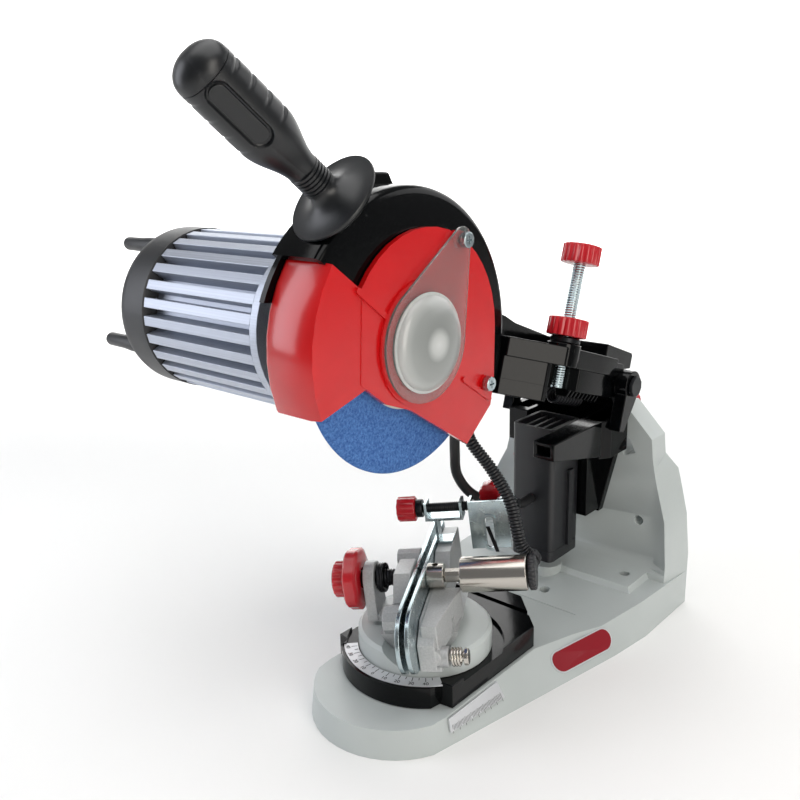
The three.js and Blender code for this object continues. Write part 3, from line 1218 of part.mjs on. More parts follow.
// Grinding wheel between its flanges on the motor spindle
const wheel = new THREE.Group();
wheel.position.set(0, wheelY, wheelHeight);
arm.add(wheel);
const wheelHalf = wheelThickness / 2;
show(wheel, 'grinding_wheel', turned('x', [
  [wheelBore, -wheelHalf], [wheelRadius - wheelHalf, -wheelHalf], [wheelRadius, 0],
  [wheelRadius - wheelHalf, wheelHalf], [wheelBore, wheelHalf], [wheelBore, -wheelHalf],
], 0, 0, 2 * roundSides), blueGrit);
show(wheel, 'inner_flange', ring('x', flangeRadius, spindleRadius + gap, -wheelHalf - gap - flangeThickness, -wheelHalf - gap), steel);
show(wheel, 'outer_flange', turned('x', [
  [spindleRadius + gap, wheelHalf + gap], [flangeRadius, wheelHalf + gap], [flangeRadius, wheelHalf + flangeThickness / 2],
  [flangeRadius - flangeThickness, wheelHalf + flangeThickness], [spindleRadius + gap, wheelHalf + flangeThickness],
  [spindleRadius + gap, wheelHalf + gap],
]), steel);
const nutStart = wheelHalf + flangeThickness + gap;
const spindleNut = nut('x', spindleNutRadius, nutStart, nutStart + spindleNutLength, 0, 0);
show(wheel, 'spindle_nut', cut(spindleNut, rod('x', spindleRadius + gap, nutStart - cutOver, nutStart + spindleNutLength - 2 * softEdge, 0, 0)), steel);
const motorBellFar = motorNearX + gap;
show(wheel, 'wheel_spindle', rod('x', spindleRadius, motorBellFar, nutStart + spindleNutLength - 3 * softEdge, 0, 0), steel);

// Motor: mount bell against the guard, finned housing, rings and the black end cap
const mountStart = guardBackX - gap - mountPlateThickness;
show(arm, 'motor_mount', cut(
  joined(
    rod('x', motorRingRadius, mountStart, guardBackX - gap, wheelY, wheelHeight),
    turned('x', [[0, motorNearX + gap], [motorCoreRadius, motorNearX + gap], [motorBellRadius, mountStart + gap], [0, mountStart + gap]], wheelY, wheelHeight),
  ),
  rod('x', spindleRadius + gap, motorNearX - cutOver, guardBackX + cutOver, wheelY, wheelHeight),
), castAlloy);
const finStart = motorNearX - motorRingLength;
const finOutline = Array.from({ length: finCount }, (_, i) => {
  const middle = (2 * Math.PI * i) / finCount;
  const root = Math.asin(finWidth / 2 / motorCoreRadius);
  const tip = Math.asin(finWidth / 2 / finTipRadius);
  return [[motorCoreRadius, -root], [finTipRadius, -tip], [finTipRadius, tip], [motorCoreRadius, root]]
    .map(([r, turn]) => [wheelY + r * Math.cos(middle + turn), wheelHeight + r * Math.sin(middle + turn)]);
}).flat();
show(arm, 'motor_housing', joined(
  prism('x', finOutline, motorFarX, finStart + softEdge),
  rod('x', motorRingRadius, finStart, motorNearX, wheelY, wheelHeight, 2 * roundSides),
), aluminium);
const capStart = motorFarX - gap;
const capProfile = [0, 30, 60, 90].map((turn) => [
  capSkirtRadius * 0.55 + capSkirtRadius * 0.45 * Math.cos(radians(turn)),
  capStart - capLength - capDomeLength * Math.sin(radians(turn)),
]);
const pegAt = (i) => {
  const turn = radians(pegStartDegrees + 90 * i);
  return [wheelY + pegRingRadius * Math.cos(turn), wheelHeight + pegRingRadius * Math.sin(turn)];
};
const pegs = [0, 1, 2, 3].map((i) => softRod('x', pegRadius, capStart - capLength - capDomeLength - pegLength, capStart - capLength + softEdge, 2 * softEdge, ...pegAt(i), smallSides));
show(arm, 'motor_end_cap', joined(
  turned('x', [[0, capStart], [capSkirtRadius, capStart], ...capProfile, [0, capStart - capLength - capDomeLength]], wheelY, wheelHeight),
  ...pegs,
), satinBlack);

// Handle: bell flange, ringed neck and the grip with its round end
const neckStart = bellDepth;
const ringPitch = neckLength / neckRings;
const neckProfile = Array.from({ length: neckRings }, (_, i) => [
  [neckRadius, neckStart + i * ringPitch], [neckRadius + gripWave, neckStart + (i + 0.25) * ringPitch],
  [neckRadius + gripWave, neckStart + (i + 0.75) * ringPitch], [neckRadius, neckStart + (i + 1) * ringPitch],
]).flat();
const bellProfile = [0, 20, 40, 60, 80].map((turn) => [
  bellRadius - (bellRadius - neckRadius) * Math.sin(radians(turn)),
  softEdge * 3 + (bellDepth - softEdge * 3) * (1 - Math.cos(radians(turn))),
]);
show(arm, 'handle_bell', alongHandle([[0, 0], [bellRadius, 0], ...bellProfile, ...neckProfile, [0, neckStart + neckLength]], smallSides * 2), satinBlack);
const gripStart = neckStart + neckLength + gap;
const gripShares = [[0, 0.8], [0.08, 0.98], [0.2, 1.04], [0.32, 1], [0.44, 1.05], [0.56, 1], [0.68, 1.04], [0.8, 0.96], [0.88, 0.92], [0.9, 0.86]];
const gripEnd = handleLength - capBallRadius * 0.4;
const ballArc = [-25, 0, 25, 50, 75].map((turn) => [capBallRadius * Math.cos(radians(turn)), handleLength + capBallRadius * Math.sin(radians(turn))]);
show(arm, 'handle_grip', alongHandle([
  [0, gripStart],
  ...gripShares.map(([t, r]) => [gripRadius * r, gripStart + t * (gripEnd - gripStart)]),
  ...ballArc,
  [0, handleLength + capBallRadius],
], roundSides), satinBlack);

// Cord gland at the back of the guard and the two cords that hang from the head
const glandY = 52;
const glandHeight = 157;
const conduitX = -8;
const cableX = -17;
const glandLength = 9;
const glandRadius = 6;
const conduitRadius = 3.9;
const cableRadius = 3.2;
show(arm, 'cord_gland', joined(
  softRod('z', glandRadius, glandHeight, glandHeight + glandLength, softEdge, conduitX, glandY, smallSides),
  softRod('z', glandRadius, glandHeight, glandHeight + glandLength, softEdge, cableX, glandY, smallSides),
  block(guardBackX + guardWall + gap, conduitX, glandY - glandRadius / 2, glandY + glandRadius / 2, glandHeight + softEdge, glandHeight + glandLength + 2 * glandRadius),
), satinBlack);
const viseToBench = (x, y, z) => {
  const tilt = radians(viseTiltDegrees);
  const turn = radians(viseTurnDegrees);
  const across = x * Math.cos(tilt) - z * Math.sin(tilt);
  return [
    across * Math.cos(turn) - y * Math.sin(turn),
    across * Math.sin(turn) + y * Math.cos(turn),
    cradleHeight + x * Math.sin(tilt) + z * Math.cos(tilt),
  ];
};
const elbowEnd = fittingRadius + fittingLength + gap;
const elbow = viseToBench(barrelEnd + gap + fittingLength / 2, elbowEnd, clampHeight);
const elbowOut = viseToBench(barrelEnd + gap + fittingLength / 2, elbowEnd + glandRadius, clampHeight);
// Stations of the conduit behind the stop and the barrel, in the frame of the vise
const conduitStations = [
  [31.3, 42.9, 80.7], [43.1, 37.4, 62.8], [52.6, 29.4, 45.3], [55.5, 24.3, 29.1], [57, 22.5, 20.5], [60.4, 21.8, 15.4],
];
show(grinder, 'conduit', tube([
  [conduitX, glandY, glandHeight - 2 * gap], [conduitX, glandY, glandHeight - glandLength],
  ...conduitStations.map((station) => viseToBench(...station)), elbowOut, elbow,
], conduitRadius, 30, 8), satinBlack);
show(grinder, 'smooth_cable', tube([
  [cableX, glandY, glandHeight - 2 * gap], [cableX, glandY, glandHeight - 9], [-18, 53, 130], [-20, 58, 112], [-14, 66, 98], [-2, 82, 90], [0, 100, 84],
  [0, boxFrontY - glandRadius, 84], [0, boxFrontY - gap, 84],
], cableRadius, 32, 8), satinBlack);

export default grinder;
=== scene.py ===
# %% [markdown]
# # A bench grinder for saw chain
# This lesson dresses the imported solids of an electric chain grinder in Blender.
# The solids already have their real size and place, so each step only adds what
# a drawing leaves out: paint, grain, threads, scales, rubber and light.
# The frame comes in first, because every later piece rides on one of its bodies.

# %% Load the frame
import bpy
import bmesh
from math import acos, atan2, cos, degrees, pi, radians, sin, sqrt
from mathutils import Matrix, Vector
from mathutils.bvhtree import BVHTree


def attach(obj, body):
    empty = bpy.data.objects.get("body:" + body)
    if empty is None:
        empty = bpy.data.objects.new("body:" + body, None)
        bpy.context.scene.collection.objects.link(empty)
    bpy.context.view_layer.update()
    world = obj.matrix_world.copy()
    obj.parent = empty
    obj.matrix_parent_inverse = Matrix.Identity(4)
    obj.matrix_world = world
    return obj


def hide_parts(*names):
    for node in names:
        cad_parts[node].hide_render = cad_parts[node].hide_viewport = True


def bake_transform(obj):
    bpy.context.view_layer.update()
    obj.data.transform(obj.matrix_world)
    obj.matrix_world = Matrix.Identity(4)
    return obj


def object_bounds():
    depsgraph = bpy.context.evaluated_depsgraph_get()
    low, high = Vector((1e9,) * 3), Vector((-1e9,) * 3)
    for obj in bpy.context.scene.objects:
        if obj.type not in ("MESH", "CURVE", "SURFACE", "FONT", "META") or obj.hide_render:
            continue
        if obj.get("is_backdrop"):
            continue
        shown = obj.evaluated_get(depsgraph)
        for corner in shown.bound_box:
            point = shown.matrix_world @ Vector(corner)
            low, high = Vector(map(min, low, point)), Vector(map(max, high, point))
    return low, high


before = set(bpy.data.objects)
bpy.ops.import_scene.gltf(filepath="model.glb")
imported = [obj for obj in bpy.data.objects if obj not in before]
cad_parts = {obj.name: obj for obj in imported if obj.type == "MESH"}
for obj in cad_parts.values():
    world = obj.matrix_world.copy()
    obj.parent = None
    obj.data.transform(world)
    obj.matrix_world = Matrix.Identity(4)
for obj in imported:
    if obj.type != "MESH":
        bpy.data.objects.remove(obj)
cad_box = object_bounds()
MM = 0.001


# %% [markdown]
# Lengths are written in millimetres, as on a drawing, and turned to metres at the
# last moment. Colours are written as the hex values a paint chart gives, and one
# function turns them to the linear values that the renderer adds up.

# %% Units, colours and nodes
def linear(hex_colour):
    """The linear colour of an sRGB hex value."""
    parts = [int(hex_colour[i:i + 2], 16) / 255 for i in (1, 3, 5)]
    return tuple(c / 12.92 if c <= 0.04045 else ((c + 0.055) / 1.055) ** 2.4 for c in parts) + (1.0,)


def add(tree, kind, feeds=None, **settings):
    """Adds one node with its settings, and feeds each named input a value or a link."""
    made = tree.nodes.new(kind)
    for name, value in settings.items():
        setattr(made, name, value)
    for key, value in (feeds or {}).items():
        if isinstance(value, bpy.types.NodeSocket):
            tree.links.new(value, made.inputs[key])
        else:
            made.inputs[key].default_value = value
    return made


def feed(shader, key, made, output=0):
    """Links an output of a node to a socket of the shader."""
    shader.id_data.links.new(made.outputs[output], shader.inputs[key])


def finish_named(name, colour, roughness, metallic=0.0, **sockets):
    """A material with the values that are the same all over its surface."""
    material = bpy.data.materials.new(name)
    material.use_nodes = True
    material.diffuse_color = linear(colour)
    shader = material.node_tree.nodes["Principled BSDF"]
    sockets.update(Base_Color=linear(colour), Roughness=roughness, Metallic=metallic)
    for key, value in sockets.items():
        shader.inputs[key.replace("_", " ")].default_value = value
    place = add(material.node_tree, "ShaderNodeTexCoord").outputs["Object"]
    return material, material.node_tree, shader, place


def per_metre(size_mm):
    """The texture scale that gives features of this size."""
    return 1.0 / (size_mm * MM)


def patterned(name, colour, roughness, patterns, metallic=0.0, noise=None, **sockets):
    """A finish with noise on some sockets: for each a size in mm, a detail and two limits.

    The limits are two tones, two values of roughness, or a relief's strength and height in mm.
    """
    material, tree, shader, place = finish_named(name, colour, roughness, metallic, **sockets)
    for key, (size, detail, low, high) in patterns.items():
        spots = add(tree, "ShaderNodeTexNoise", {
            "Vector": place, "Scale": per_metre(size), "Detail": detail, **(noise or {})}).outputs["Fac"]
        if key == "Base Color":
            tones = {0: spots, 6: linear(low), 7: linear(high)}
            feed(shader, key, add(tree, "ShaderNodeMix", tones, data_type="RGBA"), 2)
        elif key == "Roughness":
            feed(shader, key, add(tree, "ShaderNodeMapRange", {"Value": spots, "To Min": low, "To Max": high}))
        else:
            feed(shader, key, add(tree, "ShaderNodeBump", {"Height": spots, "Strength": low, "Distance": high * MM}))
    return material


print("white is", [round(c, 3) for c in linear("#ffffff")])

# %% [markdown]
# The camera stands where the photograph was taken: about 42 degrees round to the
# right of the machine and 16 degrees above it, with a slightly long lens. Its three
# axes are written out as vectors, which is easier to check than three angles.

# %% Camera
def frame_of(x_axis, y_axis, z_axis, spot):
    """The frame with these axes, at a spot given in metres."""
    return Matrix((*zip(x_axis, y_axis, z_axis, spot), (0, 0, 0, 1)))


def placed(name, data):
    """An object that shows this data in the scene."""
    made = bpy.data.objects.new(name, data)
    bpy.context.collection.objects.link(made)
    return made


CAMERA_TURN, CAMERA_RISE, CAMERA_ROLL = (radians(a) for a in (41.79, 16.28, -1.61))
CAMERA_SPOT = Vector((305.64, -358.66, 316.56)) * MM
forward = Vector((-sin(CAMERA_TURN) * cos(CAMERA_RISE),
                  cos(CAMERA_TURN) * cos(CAMERA_RISE), -sin(CAMERA_RISE)))
level_right = Vector((cos(CAMERA_TURN), sin(CAMERA_TURN), 0))
level_up = level_right.cross(forward)
right = level_right * cos(CAMERA_ROLL) + level_up * sin(CAMERA_ROLL)
up = level_up * cos(CAMERA_ROLL) - level_right * sin(CAMERA_ROLL)
lens = bpy.data.cameras.new("studio_camera")
lens.lens = 40.24
lens.sensor_width = 36
lens.clip_start = 0.01
camera = placed("studio_camera", lens)
camera.matrix_world = frame_of(right, up, -forward, CAMERA_SPOT)
bpy.context.scene.camera = camera
print("camera at", [round(c, 3) for c in CAMERA_SPOT])

# %% [markdown]
# Pieces are easiest to draw in the frame of the part that carries them. The vise
# is turned 30 degrees on its drum and tipped 6.5 degrees, the arm is pitched 18
# degrees, and the handle points up and to the front. Wheel and motor turn about the
# axle; the guard's rim and the clear cover's dome have centres of their own.

# %% Frames of the tilted parts
AXLE_SPOT, GUARD_SPOT, HUB_SPOT = (-11.5, 214.8), (-13.7, 210.7), (-10, 214.3)
VISE = (Matrix.Rotation(radians(30), 4, "Z") @ Matrix.Translation(Vector((0, 0, 58)) * MM)
        @ Matrix.Rotation(radians(-6.5), 4, "Y"))
ARM = Matrix.Translation(Vector((0, 160, 157.9)) * MM) @ Matrix.Rotation(radians(-18), 4, "X")
ALONG_X = Matrix(((0, 0, 1, 0), (1, 0, 0, 0), (0, 1, 0, 0), (0, 0, 0, 1)))
ALONG_Y = Matrix(((0, 1, 0, 0), (0, 0, 1, 0), (1, 0, 0, 0), (0, 0, 0, 1)))


def at(x, y, z, base=Matrix()):
    """A frame moved to a place given in millimetres."""
    return base @ Matrix.Translation(Vector((x, y, z)) * MM)


BELL = Vector((-3, -56, 290))
GRIP_END = Vector((-10, -122, 346.5))
along = (GRIP_END - BELL).normalized()
side = (Vector((1, 0, 0)) - along * along.x).normalized()
over = along.cross(side)
HANDLE = frame_of(side, over, along, BELL * MM)
HANDLE_LENGTH = (GRIP_END - BELL).length
print("handle length", round(HANDLE_LENGTH, 1), "mm")


# %% [markdown]
# Most of the added pieces are turned on a lathe: a profile goes round an axis. A
# ripple function may change the radius with the angle, which makes knurls, flutes
# and lobes without a single boolean. Normals stay smooth, apart from real corners.

# %% Making a mesh piece
def piece(name, points, faces, material, body, place=Matrix(), stands_for=(), crease=40):
    """A mesh piece drawn in millimetres, in the frame of what carries it."""
    mesh = bpy.data.meshes.new(name)
    mesh.from_pydata([place @ (Vector(p) * MM) for p in points], [], faces)
    drawn = bmesh.new()
    drawn.from_mesh(mesh)
    bmesh.ops.remove_doubles(drawn, verts=drawn.verts, dist=1e-7)
    bmesh.ops.recalc_face_normals(drawn, faces=drawn.faces)
    drawn.to_mesh(mesh)
    drawn.free()
    mesh.shade_smooth()
    mesh.set_sharp_from_angle(angle=radians(crease))
    mesh.materials.append(material)
    made = placed(name, mesh)
    if body:
        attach(made, body)
    if stands_for:
        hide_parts(*stands_for)
    return made


def hoops(rows, count, capped=True):
    """The faces between rings of points, with a cap on both ends if wanted."""
    faces = [(k * count + i, k * count + (i + 1) % count, (k + 1) * count + (i + 1) % count, (k + 1) * count + i)
             for k in range(rows - 1) for i in range(count)]
    if capped:
        faces += [tuple(range(count)), tuple((rows - 1) * count + i for i in range(count))]
    return faces


def ease_rims(made, width, segments, angle, harden=False):
    """Rounds the edges that are sharper than the angle."""
    rim = made.modifiers.new("eased rims", "BEVEL")
    rim.width = width * MM
    rim.segments = segments
    rim.limit_method = "ANGLE"
    rim.angle_limit = radians(angle)
    rim.harden_normals = harden


def turned(name, profile, material, body, place=Matrix(), sides=72, ripple=None, **more):
    """A profile of (radius, height) turned about the local Z axis."""
    points, faces = [], hoops(len(profile), sides, capped=False)
    for radius, height in profile:
        for i in range(sides):
            angle = 2 * pi * i / sides
            r = radius + (ripple(angle, radius, height) if ripple else 0)
            points.append((r * cos(angle), r * sin(angle), height))
    for level in (0, len(profile) - 1):
        if profile[level][0] > 1e-6 and profile[0] != profile[-1]:
            faces.append(tuple(level * sides + i for i in range(sides)))
    piece(name, points, faces, material, body, place, **more)


def plate(name, outline, low, high, material, body, place=Matrix(), edge=0.0, **more):
    """A flat outline with thickness along the local Z axis, its rims eased by a bevel."""
    points = [(u, v, h) for h in (low, high) for u, v in outline]
    made = piece(name, points, hoops(2, len(outline)), material, body, place, **more)
    if edge:
        ease_rims(made, edge, 2, 50)


def round_end(u, v, radius, start, end, steps=10):
    """Points on an arc between two angles in degrees, for the round parts of an outline."""
    angles = [radians(start + (end - start) * i / steps) for i in range(steps + 1)]
    return [(u + radius * cos(a), v + radius * sin(a)) for a in angles]


def pill(half_u, half_v, radius, steps=8):
    """The outline of a rectangle with round corners."""
    outline = []
    for su, sv, start in ((1, 1, 0), (-1, 1, 90), (-1, -1, 180), (1, -1, 270)):
        outline += round_end(su * (half_u - radius), sv * (half_v - radius), radius, start, start + 90, steps)
    return outline


def casting(name, prisms, material, body, place=Matrix(), edge=0.6, **more):
    """Several prisms as one piece: each has its axis, outline and the span along that axis."""
    turn = {"x": ALONG_X, "y": ALONG_Y, "z": Matrix()}
    points, faces = [], []
    for axis, outline, low, high in prisms:
        faces += [tuple(len(points) + i for i in face) for face in hoops(2, len(outline))]
        points += [turn[axis] @ Vector((u, v, h)) for h in (low, high) for u, v in outline]
    made = piece(name, points, faces, material, body, place, **more)
    ease_rims(made, edge, 3, 28, harden=True)


print("helpers ready")


# %% [markdown]
# Two cords leave the gland behind the guard. One is corrugated conduit that feeds
# the vise cylinder, the other a smooth rubber cable that goes into the switch box.
# Each route repeats the centre line of its solid. The conduit gets real ridges,
# because its outline against the pale floor shows them.

# %% Cord routes
def smooth_route(stops, steps=12):
    """A rounded line through the stops, evenly eased where they lie unevenly."""
    stops = [Vector(s) for s in stops]
    ends = [stops[0] * 2 - stops[1]] + stops + [stops[-1] * 2 - stops[-2]]
    route = []
    for a, b, c, d in zip(ends, ends[1:], ends[2:], ends[3:]):
        k1, k2, k3 = ((b - a).length ** 0.5, (c - b).length ** 0.5, (d - c).length ** 0.5)
        lean_b = ((b - a) / k1 - (c - a) / (k1 + k2) + (c - b) / k2) * k2
        lean_c = ((c - b) / k2 - (d - b) / (k2 + k3) + (d - c) / k3) * k2
        for i in range(steps):
            t = i / steps
            route.append(b * (2 * t**3 - 3 * t**2 + 1) + lean_b * (t**3 - 2 * t**2 + t)
                         + c * (3 * t**2 - 2 * t**3) + lean_c * (t**3 - t**2))
    return route + [stops[-1]]


def vise_spot(x, y, z):
    return (VISE @ (Vector((x, y, z)) * MM)) / MM


conduit_route = smooth_route([(-8, 52, 156.4), (-8, 52, 148)] + [vise_spot(*stop) for stop in (
    (31.3, 42.9, 80.7), (43.1, 37.4, 62.8), (52.6, 29.4, 45.3), (55.5, 24.3, 29.1),
    (57, 22.5, 20.5), (60.4, 21.8, 15.4), (64.3, 20.3, 13.8), (64.3, 14.3, 13.8))])
cable_route = smooth_route([
    (-17, 52, 156.4), (-17, 52, 148), (-18, 53, 130), (-20, 58, 112), (-14, 66, 98), (-2, 82, 90), (0, 100, 84),
    (0, 106, 84), (0, 111.7, 84)])
CONDUIT_RADIUS, CABLE_RADIUS = 3.9, 3.2


def route_length(route):
    return sum((b - a).length for a, b in zip(route, route[1:]))


print("conduit", round(route_length(conduit_route)), "mm, cable", round(route_length(cable_route)), "mm")

# %% [markdown]
# Conduit is polyamide, extruded and pressed into ridges while hot: hard, shiny and
# almost black. The cable jacket is soft rubber, which is duller and a little greyer.
# Its fine texture is drawn at 0.8 mm, which is coarser than real, so that it shows.

# %% Cord materials
conduit_nylon = patterned("moulded_polyamide_conduit", "#131417", 0.32, {"Roughness": (1.2, 3.0, 0.26, 0.42)},
                          IOR=1.53)
cable_rubber = patterned("extruded_rubber_jacket", "#17181a", 0.5, {"Normal": (0.8, 4.0, 0.15, 0.2)}, IOR=1.52)


# %% Cords
def swept(name, route, width_at, material, sides=20):
    """A round tube along a route whose radius may change on the way."""
    points = []
    heading = (route[1] - route[0]).normalized()
    across = heading.orthogonal().normalized()
    for k, spot in enumerate(route):
        ahead = (route[min(k + 1, len(route) - 1)] - route[max(k - 1, 0)]).normalized()
        across = (across - ahead * across.dot(ahead)).normalized()
        upward = ahead.cross(across)
        for i in range(sides):
            a = 2 * pi * i / sides
            points.append(spot + (across * cos(a) + upward * sin(a)) * width_at(k))
    return piece(name, points, hoops(len(route), sides), material, None, crease=60)


def evenly(route, step):
    """The same line with points an even step apart."""
    spots, left = [route[0]], step
    for a, b in zip(route, route[1:]):
        run = (b - a).length
        while left <= run:
            spots.append(a.lerp(b, left / run))
            left += step
        left -= run
    return spots + [route[-1]]


RIDGE_PITCH = 2.0
ridges = evenly(conduit_route, RIDGE_PITCH / 4)
conduit = swept("corrugated_conduit", ridges,
                lambda k: CONDUIT_RADIUS - (0.0, 0.15, 0.85, 0.15)[k % 4], conduit_nylon)
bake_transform(conduit)
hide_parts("conduit")
cable = swept("rubber_cable", cable_route, lambda k: CABLE_RADIUS, cable_rubber)
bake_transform(cable)
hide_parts("smooth_cable")
print("ridges:", len(ridges) // 4)

# %% [markdown]
# ## Finishes
# The base is cast aluminium under pale grey powder coat. Powder melts and flows, so
# it has a soft gloss with a faint orange peel of about 1.5 mm, and the grain of the
# sand casting still shows through as slow waves. Large tones drift a little, too.

# %% Powder coat
powder_coat, tree, shader, place = finish_named("pale_grey_powder_coat", "#bfc4c4", 0.38, IOR=1.5)
drift = add(tree, "ShaderNodeTexNoise", {"Vector": place, "Scale": per_metre(60), "Detail": 2.0})
tones = {0: drift.outputs["Fac"], 6: linear("#b0b7b6"), 7: linear("#c1c7c6")}
feed(shader, "Base Color", add(tree, "ShaderNodeMix", tones, data_type="RGBA"), 2)
peel = add(tree, "ShaderNodeTexNoise", {"Vector": place, "Scale": per_metre(1.5), "Detail": 2.0})
waves = add(tree, "ShaderNodeTexNoise", {"Vector": place, "Scale": per_metre(9), "Detail": 1.0})
both = add(tree, "ShaderNodeMath", {0: peel.outputs["Fac"], 1: waves.outputs["Fac"]}, operation="ADD")
feed(shader, "Normal", add(tree, "ShaderNodeBump", {
    "Height": both.outputs[0], "Strength": 0.12, "Distance": 0.4 * MM}))

# %% [markdown]
# Arm, guard and head bracket are cast too, but sprayed with gloss black enamel. It
# mirrors the softboxes, so the waves below the paint matter more than its colour.

# %% Black enamel
black_enamel, tree, shader, place = finish_named(
    "gloss_black_enamel", "#040506", 0.12, IOR=1.5, Specular_IOR_Level=0.22)
waves = add(tree, "ShaderNodeTexNoise", {"Vector": place, "Scale": per_metre(7), "Detail": 2.0})
feed(shader, "Normal", add(tree, "ShaderNodeBump", {
    "Height": waves.outputs["Fac"], "Strength": 0.1, "Distance": 0.5 * MM}))
dust = add(tree, "ShaderNodeTexNoise", {"Vector": place, "Scale": per_metre(0.9), "Detail": 5.0})
feed(shader, "Roughness", add(tree, "ShaderNodeMapRange", {
    "Value": dust.outputs["Fac"], "From Min": 0.4, "From Max": 0.75, "To Min": 0.09, "To Max": 0.22}))

# %% [markdown]
# Box, end cap and handle are black ABS and nylon from a spark-eroded mould. The
# tool leaves a grain of about 0.4 mm, drawn at 0.7 mm here so that it still shows.

# %% Black plastic
black_abs = patterned("spark_grained_black_abs", "#16171b", 0.42, {
    "Normal": (0.7, 3.0, 0.18, 0.15), "Roughness": (30, 2.0, 0.34, 0.48)}, IOR=1.54)
grip_nylon = patterned("soft_sheen_handle_nylon", "#101215", 0.36, {"Normal": (0.6, 3.0, 0.06, 0.1)}, IOR=1.53)

# %% [markdown]
# Cover and knobs are red ABS from a polished mould: deep colour, a clear gloss, and
# slight flow marks where the plastic ran into the tool. The cover is a brighter red,
# the knobs are a deeper crimson.

# %% Red plastic
red_abs, crimson_abs = (
    patterned(name, middle, roughness, {"Base Color": (25, 2.0, dark, light), "Normal": (25, 2.0, 0.06, 0.6)},
              noise={"Distortion": 0.6}, IOR=1.54, Coat_Weight=0.15)
    for name, middle, dark, light, roughness in (
        ("polished_red_abs", "#c40a10", "#ba070c", "#cd0e13", 0.2),
        ("crimson_knob_abs", "#b51822", "#a8131d", "#c21d28", 0.26)))

# %% [markdown]
# Rails, plates and screws are steel with bright zinc plating, which has a bluish
# cast and faint clouds where the bath left its crystals. Cylinder, rod and springs
# are bare ground steel, warmer and brighter, with turning marks round the axis.

# %% Zinc and steel
zinc_plate = patterned("bright_zinc_plated_steel", "#b4c3c9", 0.24, {
    "Base Color": (4, 4.0, "#a3b7bf", "#c9d2d2"), "Roughness": (4, 4.0, 0.16, 0.34)},
    metallic=1.0, noise={"Distortion": 0.8})
ground_steel = patterned("ground_steel", "#c4beb4", 0.22, {"Roughness": (0.8, 2.0, 0.16, 0.3)}, metallic=1.0)

# %% [markdown]
# A turned bar shows fine rings across its axis. Stretching the noise along two axes
# and keeping it fine along the third gives these rings, here every 0.5 mm along the
# clamp cylinder, whose axis needs its own turned coordinates.

# %% Turned steel
turned_steel, tree, shader, place = finish_named("turned_steel_bar", "#c8c3bb", 0.2, 1.0, Anisotropic=0.5)
axis_frame = add(tree, "ShaderNodeMapping", {
    "Vector": place, "Rotation": (0.0, radians(6.5), radians(-30))}, vector_type="POINT")
rings = add(tree, "ShaderNodeMapping", {"Vector": axis_frame.outputs[0], "Scale": (per_metre(0.5), 8.0, 8.0)})
marks = add(tree, "ShaderNodeTexNoise", {"Vector": rings.outputs[0], "Scale": 1.0, "Detail": 2.0})
feed(shader, "Normal", add(tree, "ShaderNodeBump", {
    "Height": marks.outputs["Fac"], "Strength": 0.12, "Distance": 0.08 * MM}))

# %% [markdown]
# The motor housing is an aluminium extrusion, anodised silver. Extrusion draws fine
# lines along the fins, drawn 0.7 mm apart so that they show. The jaws are die cast
# and tumbled, with a dull sparkle. Dial and ruler are satin foil, bright but not sharp.

# %% Aluminium
anodised, tree, shader, place = finish_named("anodised_aluminium_extrusion", "#b4bac6", 0.42, 0.7)
lines = add(tree, "ShaderNodeMapping", {"Vector": place, "Scale": (4.0, per_metre(0.7), per_metre(0.7))})
drawn = add(tree, "ShaderNodeTexNoise", {"Vector": lines.outputs[0], "Scale": 1.0, "Detail": 3.0})
tones = {0: drawn.outputs["Fac"], 6: linear("#a3a9b6"), 7: linear("#ccd2de")}
feed(shader, "Base Color", add(tree, "ShaderNodeMix", tones, data_type="RGBA"), 2)
feed(shader, "Roughness", add(tree, "ShaderNodeMapRange", {
    "Value": drawn.outputs["Fac"], "To Min": 0.36, "To Max": 0.52}))
die_cast = patterned("tumbled_die_cast_aluminium", "#b6b8b9", 0.5, {
    "Base Color": (1.1, 5.0, "#9b9e9f", "#cfd0d0"), "Normal": (1.1, 5.0, 0.25, 0.3)},
    metallic=0.55, noise={"Roughness": 0.65})
satin_dial = patterned("satin_silver_dial", "#d3d5d8", 0.4, {"Roughness": (0.6, 2.0, 0.32, 0.5)}, metallic=0.35)

# %% [markdown]
# The wheel is blue ceramic grit in a glassy bond. Grit of 0.25 mm can't show at this
# distance, so the cells are drawn at 1.1 mm: pale crystals, dark pores, rough all over.

# %% Grinding wheel grit
blue_grit, tree, shader, place = finish_named("vitrified_blue_grit", "#4377b8", 0.92, IOR=1.5)
cells = add(tree, "ShaderNodeTexVoronoi", {"Vector": place, "Scale": per_metre(1.1)})
pores = add(tree, "ShaderNodeTexNoise", {
    "Vector": place, "Scale": per_metre(1.4), "Detail": 6.0, "Roughness": 0.7})
spread = add(tree, "ShaderNodeMapRange", {"Value": pores.outputs["Fac"], "From Min": 0.33, "From Max": 0.68})
tones = {0: spread.outputs[0], 6: linear("#1d4488"), 7: linear("#5687c6")}
tone = add(tree, "ShaderNodeMix", tones, data_type="RGBA")
spark = add(tree, "ShaderNodeMapRange", {
    "Value": cells.outputs["Distance"], "From Min": 0.0, "From Max": 0.18, "To Min": 0.55, "To Max": 0.0})
tones = {0: spark.outputs[0], 6: tone.outputs[2], 7: linear("#a9c6ea")}
feed(shader, "Base Color", add(tree, "ShaderNodeMix", tones, data_type="RGBA"), 2)
feed(shader, "Normal", add(tree, "ShaderNodeBump", {
    "Height": pores.outputs["Fac"], "Strength": 0.7, "Distance": 0.6 * MM}))

